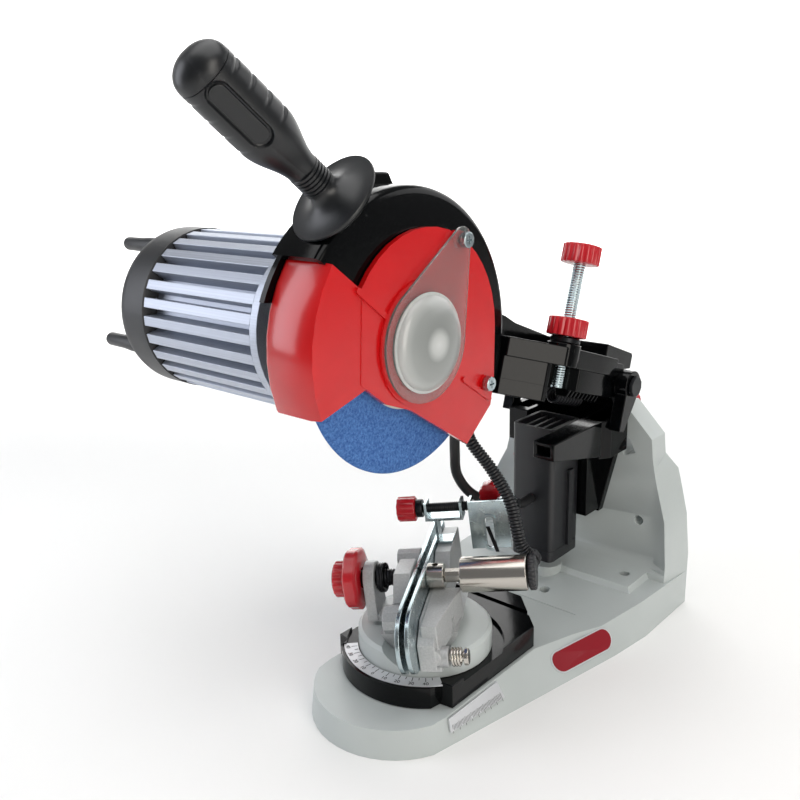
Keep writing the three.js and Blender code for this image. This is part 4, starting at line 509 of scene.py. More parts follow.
# %% [markdown]
# The hub cover is clear polycarbonate, 1.8 mm thick. Its flange is clear, and the
# dome over the nut is frosted. The dome's colour carries painted highlights: its tone
# goes from a pale crown over a grey ring to a pale foot, by the reach from its axis.
# Ink is matt, steel blackened in oil has a dull sheen, a blotter is rough pressed
# paper, and the badge is enamel under a clear glaze.

# %% Clear plastic and small finishes
clear_sheet = patterned("clear_polycarbonate", "#eef3f2", 0.06, {"Roughness": (12, 3.0, 0.03, 0.14)},
                        IOR=1.3, Transmission_Weight=0.93)
frosted, tree, shader, place = finish_named(
    "frosted_polycarbonate", "#c3cbc6", 0.24, IOR=1.5, Transmission_Weight=0.42, Coat_Weight=0.6)
haze = add(tree, "ShaderNodeTexNoise", {"Vector": place, "Scale": per_metre(5), "Detail": 3.0})
feed(shader, "Roughness", add(tree, "ShaderNodeMapRange", {
    "Value": haze.outputs["Fac"], "To Min": 0.25, "To Max": 0.5}))
# Painted highlight: the dome's colour is pale at its crown and foot and grey between, set by the reach from its axis,
# in place of the light its curved shell reflects.
flat = add(tree, "ShaderNodeVectorMath", {0: place, 1: (0.0, 1.0, 1.0)}, operation="MULTIPLY")
reach = add(tree, "ShaderNodeVectorMath", {
    0: flat.outputs[0], 1: (0.0, HUB_SPOT[0] * MM, HUB_SPOT[1] * MM)}, operation="DISTANCE")
dome_painted_highlight_ramp = add(tree, "ShaderNodeValToRGB", {"Fac": add(tree, "ShaderNodeMapRange", {
    "Value": reach.outputs["Value"], "From Min": 0.0, "From Max": 26 * MM}).outputs[0]})
for spot, hex_colour in ((0.2, "#dfe2e0"), (0.36, "#a4a8a6"), (0.72, "#b6bab8")):
    dome_painted_highlight_ramp.color_ramp.elements.new(spot).color = linear(hex_colour)
dome_painted_highlight_ramp.color_ramp.elements[0].color, dome_painted_highlight_ramp.color_ramp.elements[-1].color = linear("#f4f6f5"), linear("#e6e9e7")
feed(shader, "Base Color", dome_painted_highlight_ramp, "Color")
printed_black = patterned("printed_black_ink", "#1b1d20", 0.55, {"Roughness": (0.5, 2.0, 0.45, 0.65)}, IOR=1.5)
blackened_steel = patterned("blackened_steel", "#1c1d20", 0.34, {"Roughness": (2, 3.0, 0.25, 0.45)}, metallic=0.7)
blotter_paper = patterned("blotter_paper", "#dcd9cf", 0.85, {"Base Color": (0.9, 5.0, "#cfcabd", "#e9e6dd")},
                          IOR=1.45)
badge_enamel = patterned("dark_red_badge_enamel", "#8c1220", 0.28, {"Normal": (6, 2.0, 0.08, 0.3)},
                         IOR=1.5, Coat_Weight=0.4)
print("finishes:", len(bpy.data.materials))

# %% [markdown]
# ## Dressing the solids
# Each solid keeps its own shape and gets a finish. The solids are faceted, so three
# modifiers help: Weld joins the split corners, a small node group shades shallow
# edges smooth, and Bevel rounds the sharp ones, since no cast edge is truly sharp.

# %% Smooth shading as a modifier
def shading_group(crease):
    """A node group that shades all faces smooth and keeps edges above the crease sharp."""
    group = bpy.data.node_groups.new("eased_facets", "GeometryNodeTree")
    group.interface.new_socket("Geometry", in_out="INPUT", socket_type="NodeSocketGeometry")
    group.interface.new_socket("Geometry", in_out="OUTPUT", socket_type="NodeSocketGeometry")
    entry = add(group, "NodeGroupInput")
    plain = add(group, "GeometryNodeRemoveAttribute", {"Geometry": entry.outputs[0], "Name": "custom_normal"})
    faces = add(group, "GeometryNodeSetShadeSmooth", {
        "Geometry": plain.outputs[0], "Shade Smooth": True}, domain="FACE")
    angle = add(group, "GeometryNodeInputMeshEdgeAngle")
    sharp = add(group, "FunctionNodeCompare", {
        0: angle.outputs[0], 1: radians(crease)}, operation="GREATER_THAN")
    edges = add(group, "GeometryNodeSetShadeSmooth", {
        "Geometry": faces.outputs[0], "Selection": sharp.outputs[0], "Shade Smooth": False}, domain="EDGE")
    add(group, "NodeGroupOutput", {0: edges.outputs[0]})
    return group


eased_facets = shading_group(crease=34)


def dress(names, material, rim=0.0):
    """Gives CAD solids a finish and eased edges."""
    for name in names:
        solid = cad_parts[name]
        solid.data.materials.clear()
        solid.data.materials.append(material)
        weld = solid.modifiers.new("joined corners", "WELD")
        weld.merge_threshold = 0.00001
        shade = solid.modifiers.new("eased facets", "NODES")
        shade.node_group = eased_facets
        if rim:
            ease_rims(solid, rim, 2, 40, harden=True)


dress(["base_casting"], powder_coat, 1.6)
dress(["turntable_drum"], powder_coat, 0.5)
dress(["carriage_plate"], black_enamel, 0.5)
dress(["guard_cover"], red_abs, 0.5)
dress(["vise_body", "moving_jaw"], die_cast, 1.0)
dress(["motor_mount"], black_enamel, 0.5)
dress(["motor_housing"], anodised, 0.5)
dress(["fixed_rail", "moving_rail", "stop_bracket", "stop_plate"], zinc_plate, 0.25)
dress(["ruler_scale"], satin_dial, 0.2)
dress(["stop_nut", "tilt_stud", "tilt_pivot_pin", "upper_cover_screw", "lower_cover_screw"], zinc_plate, 0.2)
dress(["clamp_collar", "piston_rod", "clamp_cylinder", "guide_screw"], turned_steel, 0.25)
dress(["inner_flange", "outer_flange", "spindle_nut", "wheel_spindle", "turntable_pivot"], ground_steel, 0.2)
dress(["electrics_box", "box_foot", "cord_gland"], black_abs, 0.4)
dress(["rocker_switch"], red_abs, 0.3)
dress(["stop_pawl", "hinge_pin"], blackened_steel, 0.15)
print("dressed:", sum(1 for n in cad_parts.values() if n.modifiers))

# %% [markdown]
# ## Handle
# The handle is one moulding: a wide bell against the guard, a short neck with thin
# rings, and a full grip with a seam before its round end. Bell and neck are turned.
# The grip isn't round: its two narrow sides have four short finger notches each, and
# a flat sunk panel is turned 40 degrees to the front, so each ring is changed alone.

# %% Bell and neck
NECK, NECK_START, NECK_END = 7.4, 10.4, 22.6
BELL_RIM, RING_PITCH = 24.2, 2.05
bell_profile = [(0.0, 0.0), (23.9, 0.0), (24.4, 0.3), (24.5, 1.2), (BELL_RIM, 1.8)]
for i in range(1, 19):
    t = radians(90 * i / 18)
    bell_profile.append((BELL_RIM - (BELL_RIM - NECK) * sin(t) ** 0.85,
                         1.8 + (NECK_START - 1.8) * (1 - cos(t))))
for i in range(6):
    low = NECK_START + 0.4 + i * RING_PITCH
    bell_profile += [(NECK, low), (NECK + 0.75, low + 0.3), (NECK + 0.75, low + 1.35), (NECK, low + 1.65)]
bell_profile += [(NECK, NECK_END), (0.0, NECK_END)]
turned("turned_bell", bell_profile, grip_nylon, "arm", HANDLE, sides=96, stands_for=["handle_bell"])

# %% Grip with finger notches
GRIP_START, GRIP_SEAM = 22.6, 84.5
GRIP_SIDES = 160
CROWN_TIP = HANDLE_LENGTH + 8.3
PANEL_MIDDLE, PANEL_FLAT = 66, 10.5
NOTCHES = [50.5, 60.2, 69.9, 79.6]
GRIP = HANDLE @ Matrix.Rotation(radians(-40), 4, "Z")


def grip_radius(h):
    """Half width of the grip at a height along the handle."""
    if h > GRIP_SEAM:
        t = (h - GRIP_SEAM) / (CROWN_TIP - GRIP_SEAM)
        return 13.7 * sqrt(max(0.0, 1 - t ** 2.4))
    t = min(1.0, max(0.0, (h - GRIP_START) / 26))
    return 7.9 + (14.2 - 7.9) * (t * t * (3 - 2 * t)) - 0.5 * max(0.0, (h - 50) / 34.5) ** 2


points = []
levels = [GRIP_START + 0.5 * i for i in range(int((GRIP_SEAM - GRIP_START) / 0.5))]
levels += [GRIP_SEAM - 0.35, GRIP_SEAM - 0.1, GRIP_SEAM + 0.1, GRIP_SEAM + 0.35]
levels += [GRIP_SEAM + (CROWN_TIP - GRIP_SEAM) * (1 - (1 - k / 20) ** 1.8) for k in range(1, 20)]
levels.append(CROWN_TIP - 0.01)
for h in levels:
    radius = grip_radius(h)
    if abs(h - GRIP_SEAM) < 0.15:
        radius -= 0.45
    notch = 1.1 * max(0.0, 1 - min(abs(h - n) for n in NOTCHES) / 1.3)
    for i in range(GRIP_SIDES):
        a = 2 * pi * i / GRIP_SIDES
        r = radius * (1 - 0.14 * (1 - abs(sin(a)))) - notch * abs(sin(a)) ** 6
        u, v = r * cos(a), r * sin(a)
        if u > 0:
            inside = 5.8 - (max(0.0, abs(h - PANEL_MIDDLE) - 12.5) ** 2 + v * v) ** 0.5
            depth = min(1.0, max(0.0, inside / 0.9))
            u -= max(0.0, u - PANEL_FLAT) * depth * depth * (3 - 2 * depth)
        points.append((u, v, h))
piece("waved_grip", points, hoops(len(levels), GRIP_SIDES), grip_nylon, "arm", GRIP, stands_for=["handle_grip"])
plate("grip_panel", pill(16.4, 4.2, 4.1), 10.0, 11.5, grip_nylon, "arm",
      GRIP @ at(0, 0, PANEL_MIDDLE) @ Matrix(((0, 0, 1, 0), (0, 1, 0, 0), (1, 0, 0, 0), (0, 0, 0, 1))), edge=0.3)
print("grip rings:", len(levels))

# %% [markdown]
# ## Swing arm
# The arm is one die casting. Seen from above it is a wedge, narrow at the guard and
# wide at the hinge, with a ledge along the near side that swells into the boss of the
# depth screw. Behind the boss the casting is open, so the screw's end shows, and ribs
# stand below the ledge. A raised box over the hinge hides the return spring. Prisms
# with eased edges give these planes, and enamel mirrors each one differently.

# %% Arm casting
arm_prisms = [
    ("z", [(2, -96.3), (8.5, -96.3), (28, -77), (34, -71), (35.6, -63), (35.6, -54), (38.4, -36), (38.4, -12),
           (20, -12), (20, -62), (2, -84)], 3.6, 15.4),
    ("z", round_end(26.5, -63, 10.4, 0, 330, 22), 3.6, 17.6),
    ("z", [(2, -96.3), (6.8, -96.3), (26.3, -77), (27, -73.5), (20.5, -71), (20.5, -56), (33.8, -51), (36.4, -36),
           (36.4, -10), (16, -10), (16, -62), (2, -84)], -10.4, 4.6),
    ("z", [(2, -96.3), (6.8, -96.3), (26.3, -77), (27, -73.5), (20, -69), (2, -82)], -19.6, -9.4),
    ("z", [(-26, -96), (3, -96), (22, -77), (19, -62), (30, -48), (30, -12), (-26, -12)], -8, -4),
    ("x", [(-96.8, -10), (-96.8, 27), (-93, 31), (-72, 29), (-60, 26.5), (-14, 23.5), (-6, 9), (-6, -9), (-40, -12)],
     -29.5, -13),
    ("x", [(-12, 13.6), (-12, 24.2), (24, 22.6), (25.5, 21), (25.5, 12), (12, 9.6), (-9, 11)], -28, 29),
    ("x", round_end(0, 0, 9.4, 0, 345, 23), -38, 38),
    ("x", [(-16, 4), (-16, 13), (-4, 13), (0, 9), (0, 4)], -34, 38),
]
RIB_PITCH, RIB_WIDTH = 4.6, 1.8
for i in range(9):
    rib = -56 + RIB_PITCH * i
    arm_prisms.append(("y", [(-14.6, 22), (-14.6, 30.5), (-9.6, 32.8), (-9.6, 22)], rib, rib + RIB_WIDTH))
casting("cast_arm", arm_prisms, black_enamel, "arm", ARM, edge=0.7, stands_for=["swing_arm"])
print("arm prisms:", len(arm_prisms))

# %% [markdown]
# ## Guard
# The guard is a cast channel round the wheel's upper half: a wide rim, a narrow face
# that keeps clear of the wheel, and a back wall. The rim and face are one section
# swept about the guard's own centre, which keeps the shoulder smooth and round.

# %% Guard
GUARD = at(0, *GUARD_SPOT) @ ALONG_X
section = [(83.9, -25), (83.9, 3), (83.2, 5.4), (81.5, 6.8), (79.5, 7),
           (54, 7), (54, 3.6), (80.5, 3.6), (80.5, -21.6), (80.5, -25)]
turns = [radians(-22 + 161.5 * i / 72) for i in range(73)]
points = [(r * cos(t), r * sin(t), h) for t in turns for r, h in section]
piece("guard_channel", points, hoops(len(turns), len(section)), black_enamel, "arm", GUARD,
      stands_for=["guard_housing"])
back_wall = round_end(*GUARD_SPOT, 83.6, -22, 139, 40) + round_end(*GUARD_SPOT, 80.8, 139.5, 156, 5)
back_wall += round_end(*AXLE_SPOT, 74, 158, 195, 8) + [(-35.5, 180.7), (-11.52, 174.95)]
back_wall += round_end(*AXLE_SPOT, 14, 269.9, -89.9, 36) + [(-11.48, 174.93), (14.5, 168.7)]
hump = round_end(*GUARD_SPOT, 90, 84, 118, 12) + round_end(*GUARD_SPOT, 80.6, 122, 79, 12)
casting("guard_back", [("x", back_wall, -25, -21.6)], black_enamel, "arm", edge=0.0)
casting("guard_hump", [("x", hump, -24.8, -14)], black_enamel, "arm", edge=1.2)
turned("bell_seat", [(0.0, -15), (9, -15), (9, -3.6), (20, -3.6), (21, -2.6), (21, -0.1), (0.0, -0.1)],
       black_enamel, "arm", HANDLE)
print("guard turns:", len(turns))

# %% [markdown]
# ## Head bracket
# The bracket carries the arm on two ears. It is an upright plate with a short stub on
# the left, and on the right a wedge that points forward and ends in a hollow socket.
# The wedge is drawn face by face, so that the socket has real walls.

# %% Bracket
bracket_leg = [(147.3, 64), (165.5, 64), (165.5, 108), (147.3, 108)]
bracket_prisms = [
    ("y", [(136, -33), (110, -33), (62, -21.6), (62, 21.6), (110, 33), (136, 33), (147, 28), (147, -28)],
     164.7, 170.7),
    ("x", bracket_leg, 10, 21.6), ("x", bracket_leg, -21.6, -10),
    ("x", [(135, 113.5), (148, 110), (165.5, 110), (165.5, 136), (135, 136)], -34, -19),
    ("z", [(33.4, 141), (38, 148), (38, 170.7), (21.6, 170.7), (21.6, 141)], 110, 136),
    ("z", [(-33.4, 141), (-21.6, 141), (-21.6, 170.7), (-38, 170.7), (-38, 148)], 110, 136),
]
ear = round_end(160, 157.9, 10, -42, 202, 20) + [(143.6, 131), (149.5, 129)]
bracket_prisms += [("x", ear, 37.8, 46), ("x", ear, -46, -37.8)]
casting("cast_bracket", bracket_prisms, black_enamel, "head", edge=0.6, stands_for=["tilt_bracket"])
side_view = [(84, 125), (148, 110), (165.5, 110), (165.5, 136), (84, 136)]
points = [(x, y, z) for x in (19, 34) for y, z in side_view]
points += [(x, y, z) for y in (84, 93) for x, z in ((21.6, 127.6), (21.6, 133.4), (31.4, 133.4), (31.4, 127.6))]
faces = [(0, 1, 2, 3, 4), (9, 8, 7, 6, 5), (0, 5, 6, 1), (1, 6, 7, 2), (2, 7, 8, 3), (3, 8, 9, 4),
         (0, 4, 11, 10), (4, 9, 12, 11), (9, 5, 13, 12), (5, 0, 10, 13),
         (10, 11, 15, 14), (11, 12, 16, 15), (12, 13, 17, 16), (13, 10, 14, 17), (14, 15, 16, 17)]
ease_rims(piece("bracket_wedge", points, faces, black_enamel, "head"), 0.6, 2, 50)
print("bracket prisms:", len(bracket_prisms))

# %% [markdown]
# ## Motor end cap
# The cap is a deep black cup with four blunt pegs that stand out from its back.
# Turning cup and pegs anew gives round outlines.

# %% End cap and pegs
AXLE = at(0, *AXLE_SPOT) @ ALONG_X
PEG_RING = 45
cap_profile = [(0.0, -166.4), (50.2, -166.4), (51.0, -167.0), (51.0, -185.5)]
for i in range(1, 13):
    t = radians(90 * i / 12)
    cap_profile.append((28.0 + 23.0 * cos(t), -186.3 - 16.0 * sin(t)))
cap_profile.append((0.0, -202.3))
turned("end_cap_cup", cap_profile, black_abs, "arm", AXLE, sides=112, stands_for=["motor_end_cap"])
peg = [(0.0, -223.3), (3.0, -223.2), (4.0, -222.6), (4.4, -221.4), (4.5, -205.0),
       (5.2, -196.0), (5.2, -186.0), (0.0, -186.0)]
for number, foot in enumerate(round_end(*AXLE_SPOT, PEG_RING, 26, 296, 3), 1):
    turned(f"cap_peg_{number}", peg, black_abs, "arm", at(0, *foot) @ ALONG_X, sides=28)
print("cap rim radius 51 mm, 4 pegs")

# %% [markdown]
# ## Wheel
# The wheel's rim is dressed to a blunt point, as a chain tooth needs. A paper
# blotter on each face spreads the pressure of the steel flanges.

# %% Wheel and blotters
turned("grit_wheel", [
    (11.1, -2.35), (70.0, -2.35), (71.4, -1.6), (72.4, -0.5), (72.4, 0.5), (71.4, 1.6), (70.0, 2.35), (11.1, 2.35),
    (11.1, -2.35)], blue_grit, "wheel", AXLE, sides=144, stands_for=["grinding_wheel"])
for label, low in (("near", 2.38), ("far", -2.62)):
    turned(f"blotter_{label}", [(23.4, low), (37.0, low), (37.0, low + 0.24), (23.4, low + 0.24), (23.4, low)],
           blotter_paper, "wheel", AXLE, sides=96)
print("wheel diameter 144.8 mm")

# %% [markdown]
# ## Hub cover
# A clear sheet with a frosted dome over the nut. Its outline is that of a cord pulled
# tight round the hub circle and the tip circle. A thin bead runs round the dome, and
# light gathers in it, so it is worth its few faces.

# %% Clear hub cover
HUB, HUB_RADIUS = Vector(HUB_SPOT), 32
TIP, TIP_RADIUS = Vector((20.5, 264.5)), 7
SHEET_BACK, SHEET_FRONT = 12.9, 14.7
line = TIP - HUB
heading = degrees(atan2(line.y, line.x))
lean = degrees(acos((HUB_RADIUS - TIP_RADIUS) / line.length))
outline = round_end(*TIP, TIP_RADIUS, heading - lean, heading + lean, 28)
outline += round_end(*HUB, HUB_RADIUS, heading + lean, heading - lean + 360, 84)
plate("clear_flange", outline, SHEET_BACK, SHEET_FRONT, clear_sheet, "hub_cover", ALONG_X, edge=0.3,
      stands_for=["hub_cover"])
dome = [(26.6, SHEET_FRONT + 0.05), (26.6, SHEET_FRONT + 0.7), (25.6, SHEET_FRONT + 0.9)]
for i in range(0, 13):
    t = radians(90 * i / 12)
    dome.append((25.2 * cos(t) ** 0.8 if i < 12 else 0.0, SHEET_FRONT + 0.9 + 6.6 * sin(t)))
inner = [(0.0, SHEET_FRONT + 6.3)]
for i in range(1, 11):
    t = radians(90 * i / 10)
    inner.append((24.0 * sin(t) ** 0.8, SHEET_FRONT + 0.3 + 6.0 * cos(t)))
turned("frosted_dome", dome + inner + [(26.6, SHEET_FRONT + 0.05)], frosted, "hub_cover",
       at(0, *HUB_SPOT) @ ALONG_X, sides=96, crease=60)
print("hub cover outline points:", len(outline))


# %% [markdown]
# ## Knobs
# All knobs are crimson ABS with ribs round the rim, for grip. The ripple acts only on
# the outer surface, so the faces stay flat, as in the real mould.

# %% Knob shapes
def knob(name, radius, low, high, count, depth, body, place, node, sharpness=1.0, bore=0.0, top_dish=0.6):
    """A round knob with ribs down its rim and a shallow dish in its top."""
    def ripple(angle, r, h):
        return -depth * (0.5 - 0.5 * cos(count * angle)) ** sharpness if r > radius * 0.9 else 0.0
    ease = min(0.9, (high - low) / 6)
    profile = [(bore, low), (radius - ease - depth, low), (radius - ease * 0.3, low + ease * 0.3),
               (radius, low + ease), (radius, high - ease),
               (radius - ease * 0.3, high - ease * 0.3), (radius - ease - depth, high),
               (radius * 0.62, high), (radius * 0.56, high - top_dish), (bore, high - top_dish)]
    if bore:
        profile.append(profile[0])
    turned(name, profile, crimson_abs, body, place, sides=count * 8, ripple=ripple, stands_for=[node])


DEPTH_LINE = ARM @ at(26.5, -63, 15.3)
knob("depth_wheel", 11.8, 51.0, 62.6, 18, 0.8, "depth_knob", DEPTH_LINE, "depth_knob", 2.0)
knob("depth_lock_wheel", 12.3, 6.6, 17.8, 18, 0.8, "depth_lock_knob", DEPTH_LINE, "depth_lock_knob", 2.0, bore=4.2)
turned("depth_lock_collar", [(4.2, 2.6), (8.8, 2.6), (9.2, 3.0), (9.2, 5.4), (8.6, 6.0), (4.2, 6.0), (4.2, 2.6)],
       blackened_steel, "depth_lock_knob", DEPTH_LINE, sides=48)
STOP_LINE = VISE @ at(0, 42, 38.9) @ ALONG_X
knob("stop_wheel", 7.8, -18.8, -7.3, 10, 0.7, "stop_screw", STOP_LINE, "stop_knob", 1.5)
BACK_LINE = VISE @ at(39, 0, 42.65) @ ALONG_Y
knob("stop_back_wheel", 7.5, 47.8, 55.8, 10, 0.7, "stop_back_knob", BACK_LINE, "stop_back_knob", 1.5)
TILT_LINE = at(19, 0, 129) @ ALONG_Y
knob("tilt_wheel", 16.5, 190.6, 200.6, 8, 1.8, "tilt_lock_knob", TILT_LINE, "tilt_lock_knob", 1.0, bore=4.3)
print("knobs made")

# %% [markdown]
# The clamp knob has two steps: a lobed flange for the fingers and a ribbed hub with
# a black cap. Both come from one profile with two ripples.

# %% Clamp knob
CLAMP_LINE = VISE @ at(0, 0, 13.8) @ ALONG_X
KNOB_FACE, KNOB_BACK, HUB_END = -35.3, -43.8, -51.8


def clamp_ripple(angle, r, h):
    if r > 17.4:
        return -1.1 * (0.5 - 0.5 * cos(7 * angle))
    if 10.2 < r < 10.9 and h < KNOB_BACK - 0.3:
        return -0.8 * (0.5 - 0.5 * cos(14 * angle)) ** 3
    return 0.0


turned("lobed_clamp_knob", [
    (0.0, HUB_END), (9.6, HUB_END), (10.4, HUB_END + 0.3), (10.8, HUB_END + 1.1), (10.8, KNOB_BACK - 0.8),
    (11.6, KNOB_BACK), (15.2, KNOB_BACK), (17.5, KNOB_BACK + 0.5), (18.5, KNOB_BACK + 1.5), (18.5, KNOB_FACE - 1.5),
    (17.5, KNOB_FACE - 0.5), (15.2, KNOB_FACE), (6.2, KNOB_FACE), (6.2, KNOB_FACE - 3.0), (0.0, KNOB_FACE - 3.0)],
    crimson_abs, "clamp_knob", CLAMP_LINE, sides=140, ripple=clamp_ripple, stands_for=["clamp_knob"])
turned("clamp_knob_cap", [(0.0, HUB_END - 0.5), (8.6, HUB_END - 0.5), (9.1, HUB_END), (9.1, HUB_END + 0.2),
                          (0.0, HUB_END + 0.2)], black_abs, "clamp_knob", CLAMP_LINE, sides=48)


# %% [markdown]
# The fixed jaw has a thick block behind its rail, which widens towards the clamp and
# ends in front in a foot and a round boss for the guide screw.

# %% Jaw block
casting("jaw_block", [
    ("z", [(6.2, -46), (15, -46), (22.5, -6), (22.5, -2), (6.2, -2)], -11, 7),
    ("z", [(6.2, -46), (15, -46), (15.8, -41.6), (6.2, -41.6)], -21, -10),
    ("x", round_end(-43, -13, 5.6, 0, 345, 23), 12, 19.8)],
    die_cast, "vise", VISE, edge=0.8)

# %% [markdown]
# ## Threads and springs
# A screw thread is a ridge that climbs one pitch in each turn. The ripple needs the
# height as well as the angle for that. Springs are round wire on a helix, which a
# curve with a round bevel draws, with a cap on each end.

# %% Threads
def threaded(name, radius, low, high, pitch, material, body, place, node, depth=0.5, **more):
    """A threaded rod with chamfered ends."""
    steps = int((high - low - 1.2) / (pitch / 5))
    profile = [(0.0, low), (radius - depth, low)]
    profile += [(radius, low + 0.6 + (high - low - 1.2) * i / steps) for i in range(steps + 1)]
    profile += [(radius - depth, high), (0.0, high)]

    def ripple(angle, r, h):
        if r < radius - 0.01:
            return 0.0
        place_on_turn = (h / pitch - angle / (2 * pi)) % 1.0
        return -depth * abs(2 * place_on_turn - 1)
    turned(name, profile, material, body, place, sides=24, ripple=ripple, stands_for=[node], crease=80, **more)


threaded("depth_thread", 3.9, -25.0, 60.0, 1.5, zinc_plate, "depth_screw", DEPTH_LINE, "depth_screw")
threaded("stop_thread", 3.1, -3.0, 57.0, 1.25, blackened_steel, "stop_screw", STOP_LINE, "stop_shaft")
turned("stop_thread_collar", [
    (3.0, -7.0), (5.3, -7.0), (5.6, -6.7), (5.6, -3.4), (5.3, -3.0), (3.0, -3.0), (3.0, -7.0)],
    blackened_steel, "stop_screw", STOP_LINE, sides=40)
casting("stop_end_nut", [("x", round_end(0, 0, 5.2, 15, 315, 5), 50.4, 54.8)], zinc_plate, "chain_stop",
        VISE @ at(0, 42, 38.9), edge=0.4)
slot_rim, slot_hole = pill(4.6, 12.0, 4.5), pill(3.4, 10.8, 3.3)
slot_rings = ((slot_rim, 0.0), (slot_rim, 0.7), (slot_hole, 0.7), (slot_hole, 0.0), (slot_rim, 0.0))
points = [(u, v, h) for ring, h in slot_rings for u, v in ring]
piece("slot_bead", points, hoops(len(slot_rings), len(slot_rim), capped=False), zinc_plate, "chain_stop",
      VISE @ at(38, 34.68, 23.8) @ Matrix.Rotation(radians(90), 4, "X"))
threaded("clamp_thread", 5.0, -38.0, -8.9, 1.75, blackened_steel, "clamp_knob", CLAMP_LINE, "clamp_screw", depth=0.7)


# %% Cylinder end fitting
def fitting_ribs(angle, r, h):
    return -0.45 * (0.5 - 0.5 * cos(26 * angle)) if r > 9.0 else 0.0


turned("ribbed_fitting", [(0.0, 62.3), (8.6, 62.3), (9.9, 62.9), (10.1, 63.6), (10.1, 65.8), (9.4, 66.6), (7.2, 66.9),
                          (0.0, 66.9)], black_abs, "vise", CLAMP_LINE, sides=156, ripple=fitting_ribs,
       stands_for=["cylinder_fitting"])
turned("fitting_elbow", [(0.0, 0.0), (2.6, 0.0), (2.6, 12.6), (2.2, 13.6), (0.0, 13.6)], black_abs, "vise",
       VISE @ at(64.6, 0, 13.8) @ ALONG_Y, sides=32)


# %% Springs
def spring(name, radius, wire, low, high, turns, material, body, place, node=None):
    """Round wire on a helix about the local Z axis, with capped ends."""
    line = bpy.data.curves.new(name, "CURVE")
    line.dimensions = "3D"
    line.bevel_depth = wire * MM
    line.bevel_resolution = 4
    line.use_fill_caps = True
    steps = int(turns * 24)
    wound = line.splines.new("POLY")
    wound.points.add(steps)
    for i in range(steps + 1):
        t = i / steps
        rise = low + wire + (high - low - 2 * wire) * t
        angle = 2 * pi * turns * t
        spot = place @ (Vector((radius * cos(angle), radius * sin(angle), rise)) * MM)
        wound.points[i].co = (*spot, 1)
    line.materials.append(material)
    made = placed(name, line)
    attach(made, body)
    if node:
        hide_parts(node)


spring("guide_coil", 4.4, 0.8, 20.2, 27.3, 3.5, turned_steel, "vise", VISE @ at(0, -43, -13) @ ALONG_X,
       "guide_spring")
spring("clamp_coil", 7.6, 1.1, -26.2, -20.4, 2.2, blackened_steel, "vise", CLAMP_LINE, "clamp_spring")
spring("return_coil", 4.6, 1.1, -55.7, -22.0, 9, blackened_steel, "arm", ARM @ at(19.9, 0, -14.1) @ ALONG_Y,
       "return_spring")
print("threads and springs made")


# %% [markdown]
# ## Scales
# The dial is read against the drum. Every fifth degree has a tick, every tenth a
# longer one, and plain numbers count both ways from the middle. The ink is a thin
# raised skin, so it never flickers against the plate below.

# %% Dial marks
def lettering(text, height, place, material, body, name, lift=0.05):
    """Plain figures, centred, that stand up from the surface by a hair."""
    words = bpy.data.curves.new(name, "FONT")
    words.body = text
    words.size = height * MM
    words.extrude = lift * MM
    words.align_x = "CENTER"
    words.align_y = "CENTER"
    words.materials.append(material)
    made = placed(name, words)
    made.matrix_world = place
    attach(made, body)


def add_bar(points, faces, corners):
    """Adds a bar with these eight corners, the lower four first."""
    quads = ((0, 1, 2, 3), (4, 5, 6, 7), (0, 1, 5, 4), (1, 2, 6, 5), (2, 3, 7, 6), (3, 0, 4, 7))
    faces += [tuple(len(points) + q for q in quad) for quad in quads]
    points += corners


DIAL_TOP, INK = 30.62, 0.06
TICK_FOOT, LONG_TICK, SHORT_TICK, FIGURE_RING = 40.6, 44.2, 42.8, 46.2
dial_band = round_end(0, 0, 48.3, -135, -39, 48) + round_end(0, 0, 40.2, -39, -135, 48)
plate("silver_dial", dial_band, 30.15, DIAL_TOP - 0.02, satin_dial, "carriage", stands_for=["dial_ring"])
tick_points, tick_faces = [], []
for degree in range(-70, 16, 5):
    a = radians(-60 + degree)
    tick_end = LONG_TICK if degree % 10 == 0 else SHORT_TICK
    outward, across = Vector((cos(a), sin(a), 0)), Vector((-sin(a), cos(a), 0))
    add_bar(tick_points, tick_faces, [
        outward * r + across * s + Vector((0, 0, h)) for h in (DIAL_TOP, DIAL_TOP + INK)
        for r, s in ((TICK_FOOT, -0.2), (tick_end, -0.2), (tick_end, 0.2), (TICK_FOOT, 0.2))])
    if degree % 10 == 0:
        spot = (outward * FIGURE_RING + Vector((0, 0, DIAL_TOP + 0.03))) * MM
        figure = Matrix.Translation(spot) @ Matrix.Rotation(a + pi / 2, 4, "Z")
        lettering(str(abs(degree + 30)), 3.4, figure, printed_black, "carriage", f"dial_figure_{degree + 90}")
piece("dial_ticks", tick_points, tick_faces, printed_black, "carriage", crease=30)
print("dial ticks:", len(tick_faces) // 6)

# %% [markdown]
# The ruler on the base's flank shows how far the carriage has moved. Its ticks are
# a millimetre and five millimetres apart. To lie on the leaning plate, each mark is
# dropped on the nearest spot of the solid by asking its own mesh.


# %% Ruler marks
def skin_of(name):
    """The faces of a CAD solid as a tree that can be asked for the nearest spot."""
    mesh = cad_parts[name].data
    return BVHTree.FromPolygons([v.co.copy() for v in mesh.vertices], [tuple(p.vertices) for p in mesh.polygons])


ruler_skin = skin_of("ruler_scale")
tick_points, tick_faces = [], []
for step in range(0, 41):
    y = -34 + step
    spot, normal, _, _ = ruler_skin.ray_cast(Vector((90, y, 11)) * MM, Vector((-1, 0, 0)))
    if spot is None:
        continue
    normal = normal if normal.x > 0 else -normal
    up_slope = (Vector((0, 0, 1)) - normal * normal.z).normalized()
    across = up_slope.cross(normal)
    reach = 4.2 if step % 5 == 0 else 2.6
    add_bar(tick_points, tick_faces, [
        (spot / MM) + across * u + up_slope * v + normal * lift for lift in (0.02, 0.09)
        for u, v in ((-0.11, -reach), (0.11, -reach), (0.11, reach * 0.2), (-0.11, reach * 0.2))])
piece("ruler_ticks", tick_points, tick_faces, printed_black, "base", crease=30)
print("ruler ticks:", len(tick_faces) // 6)

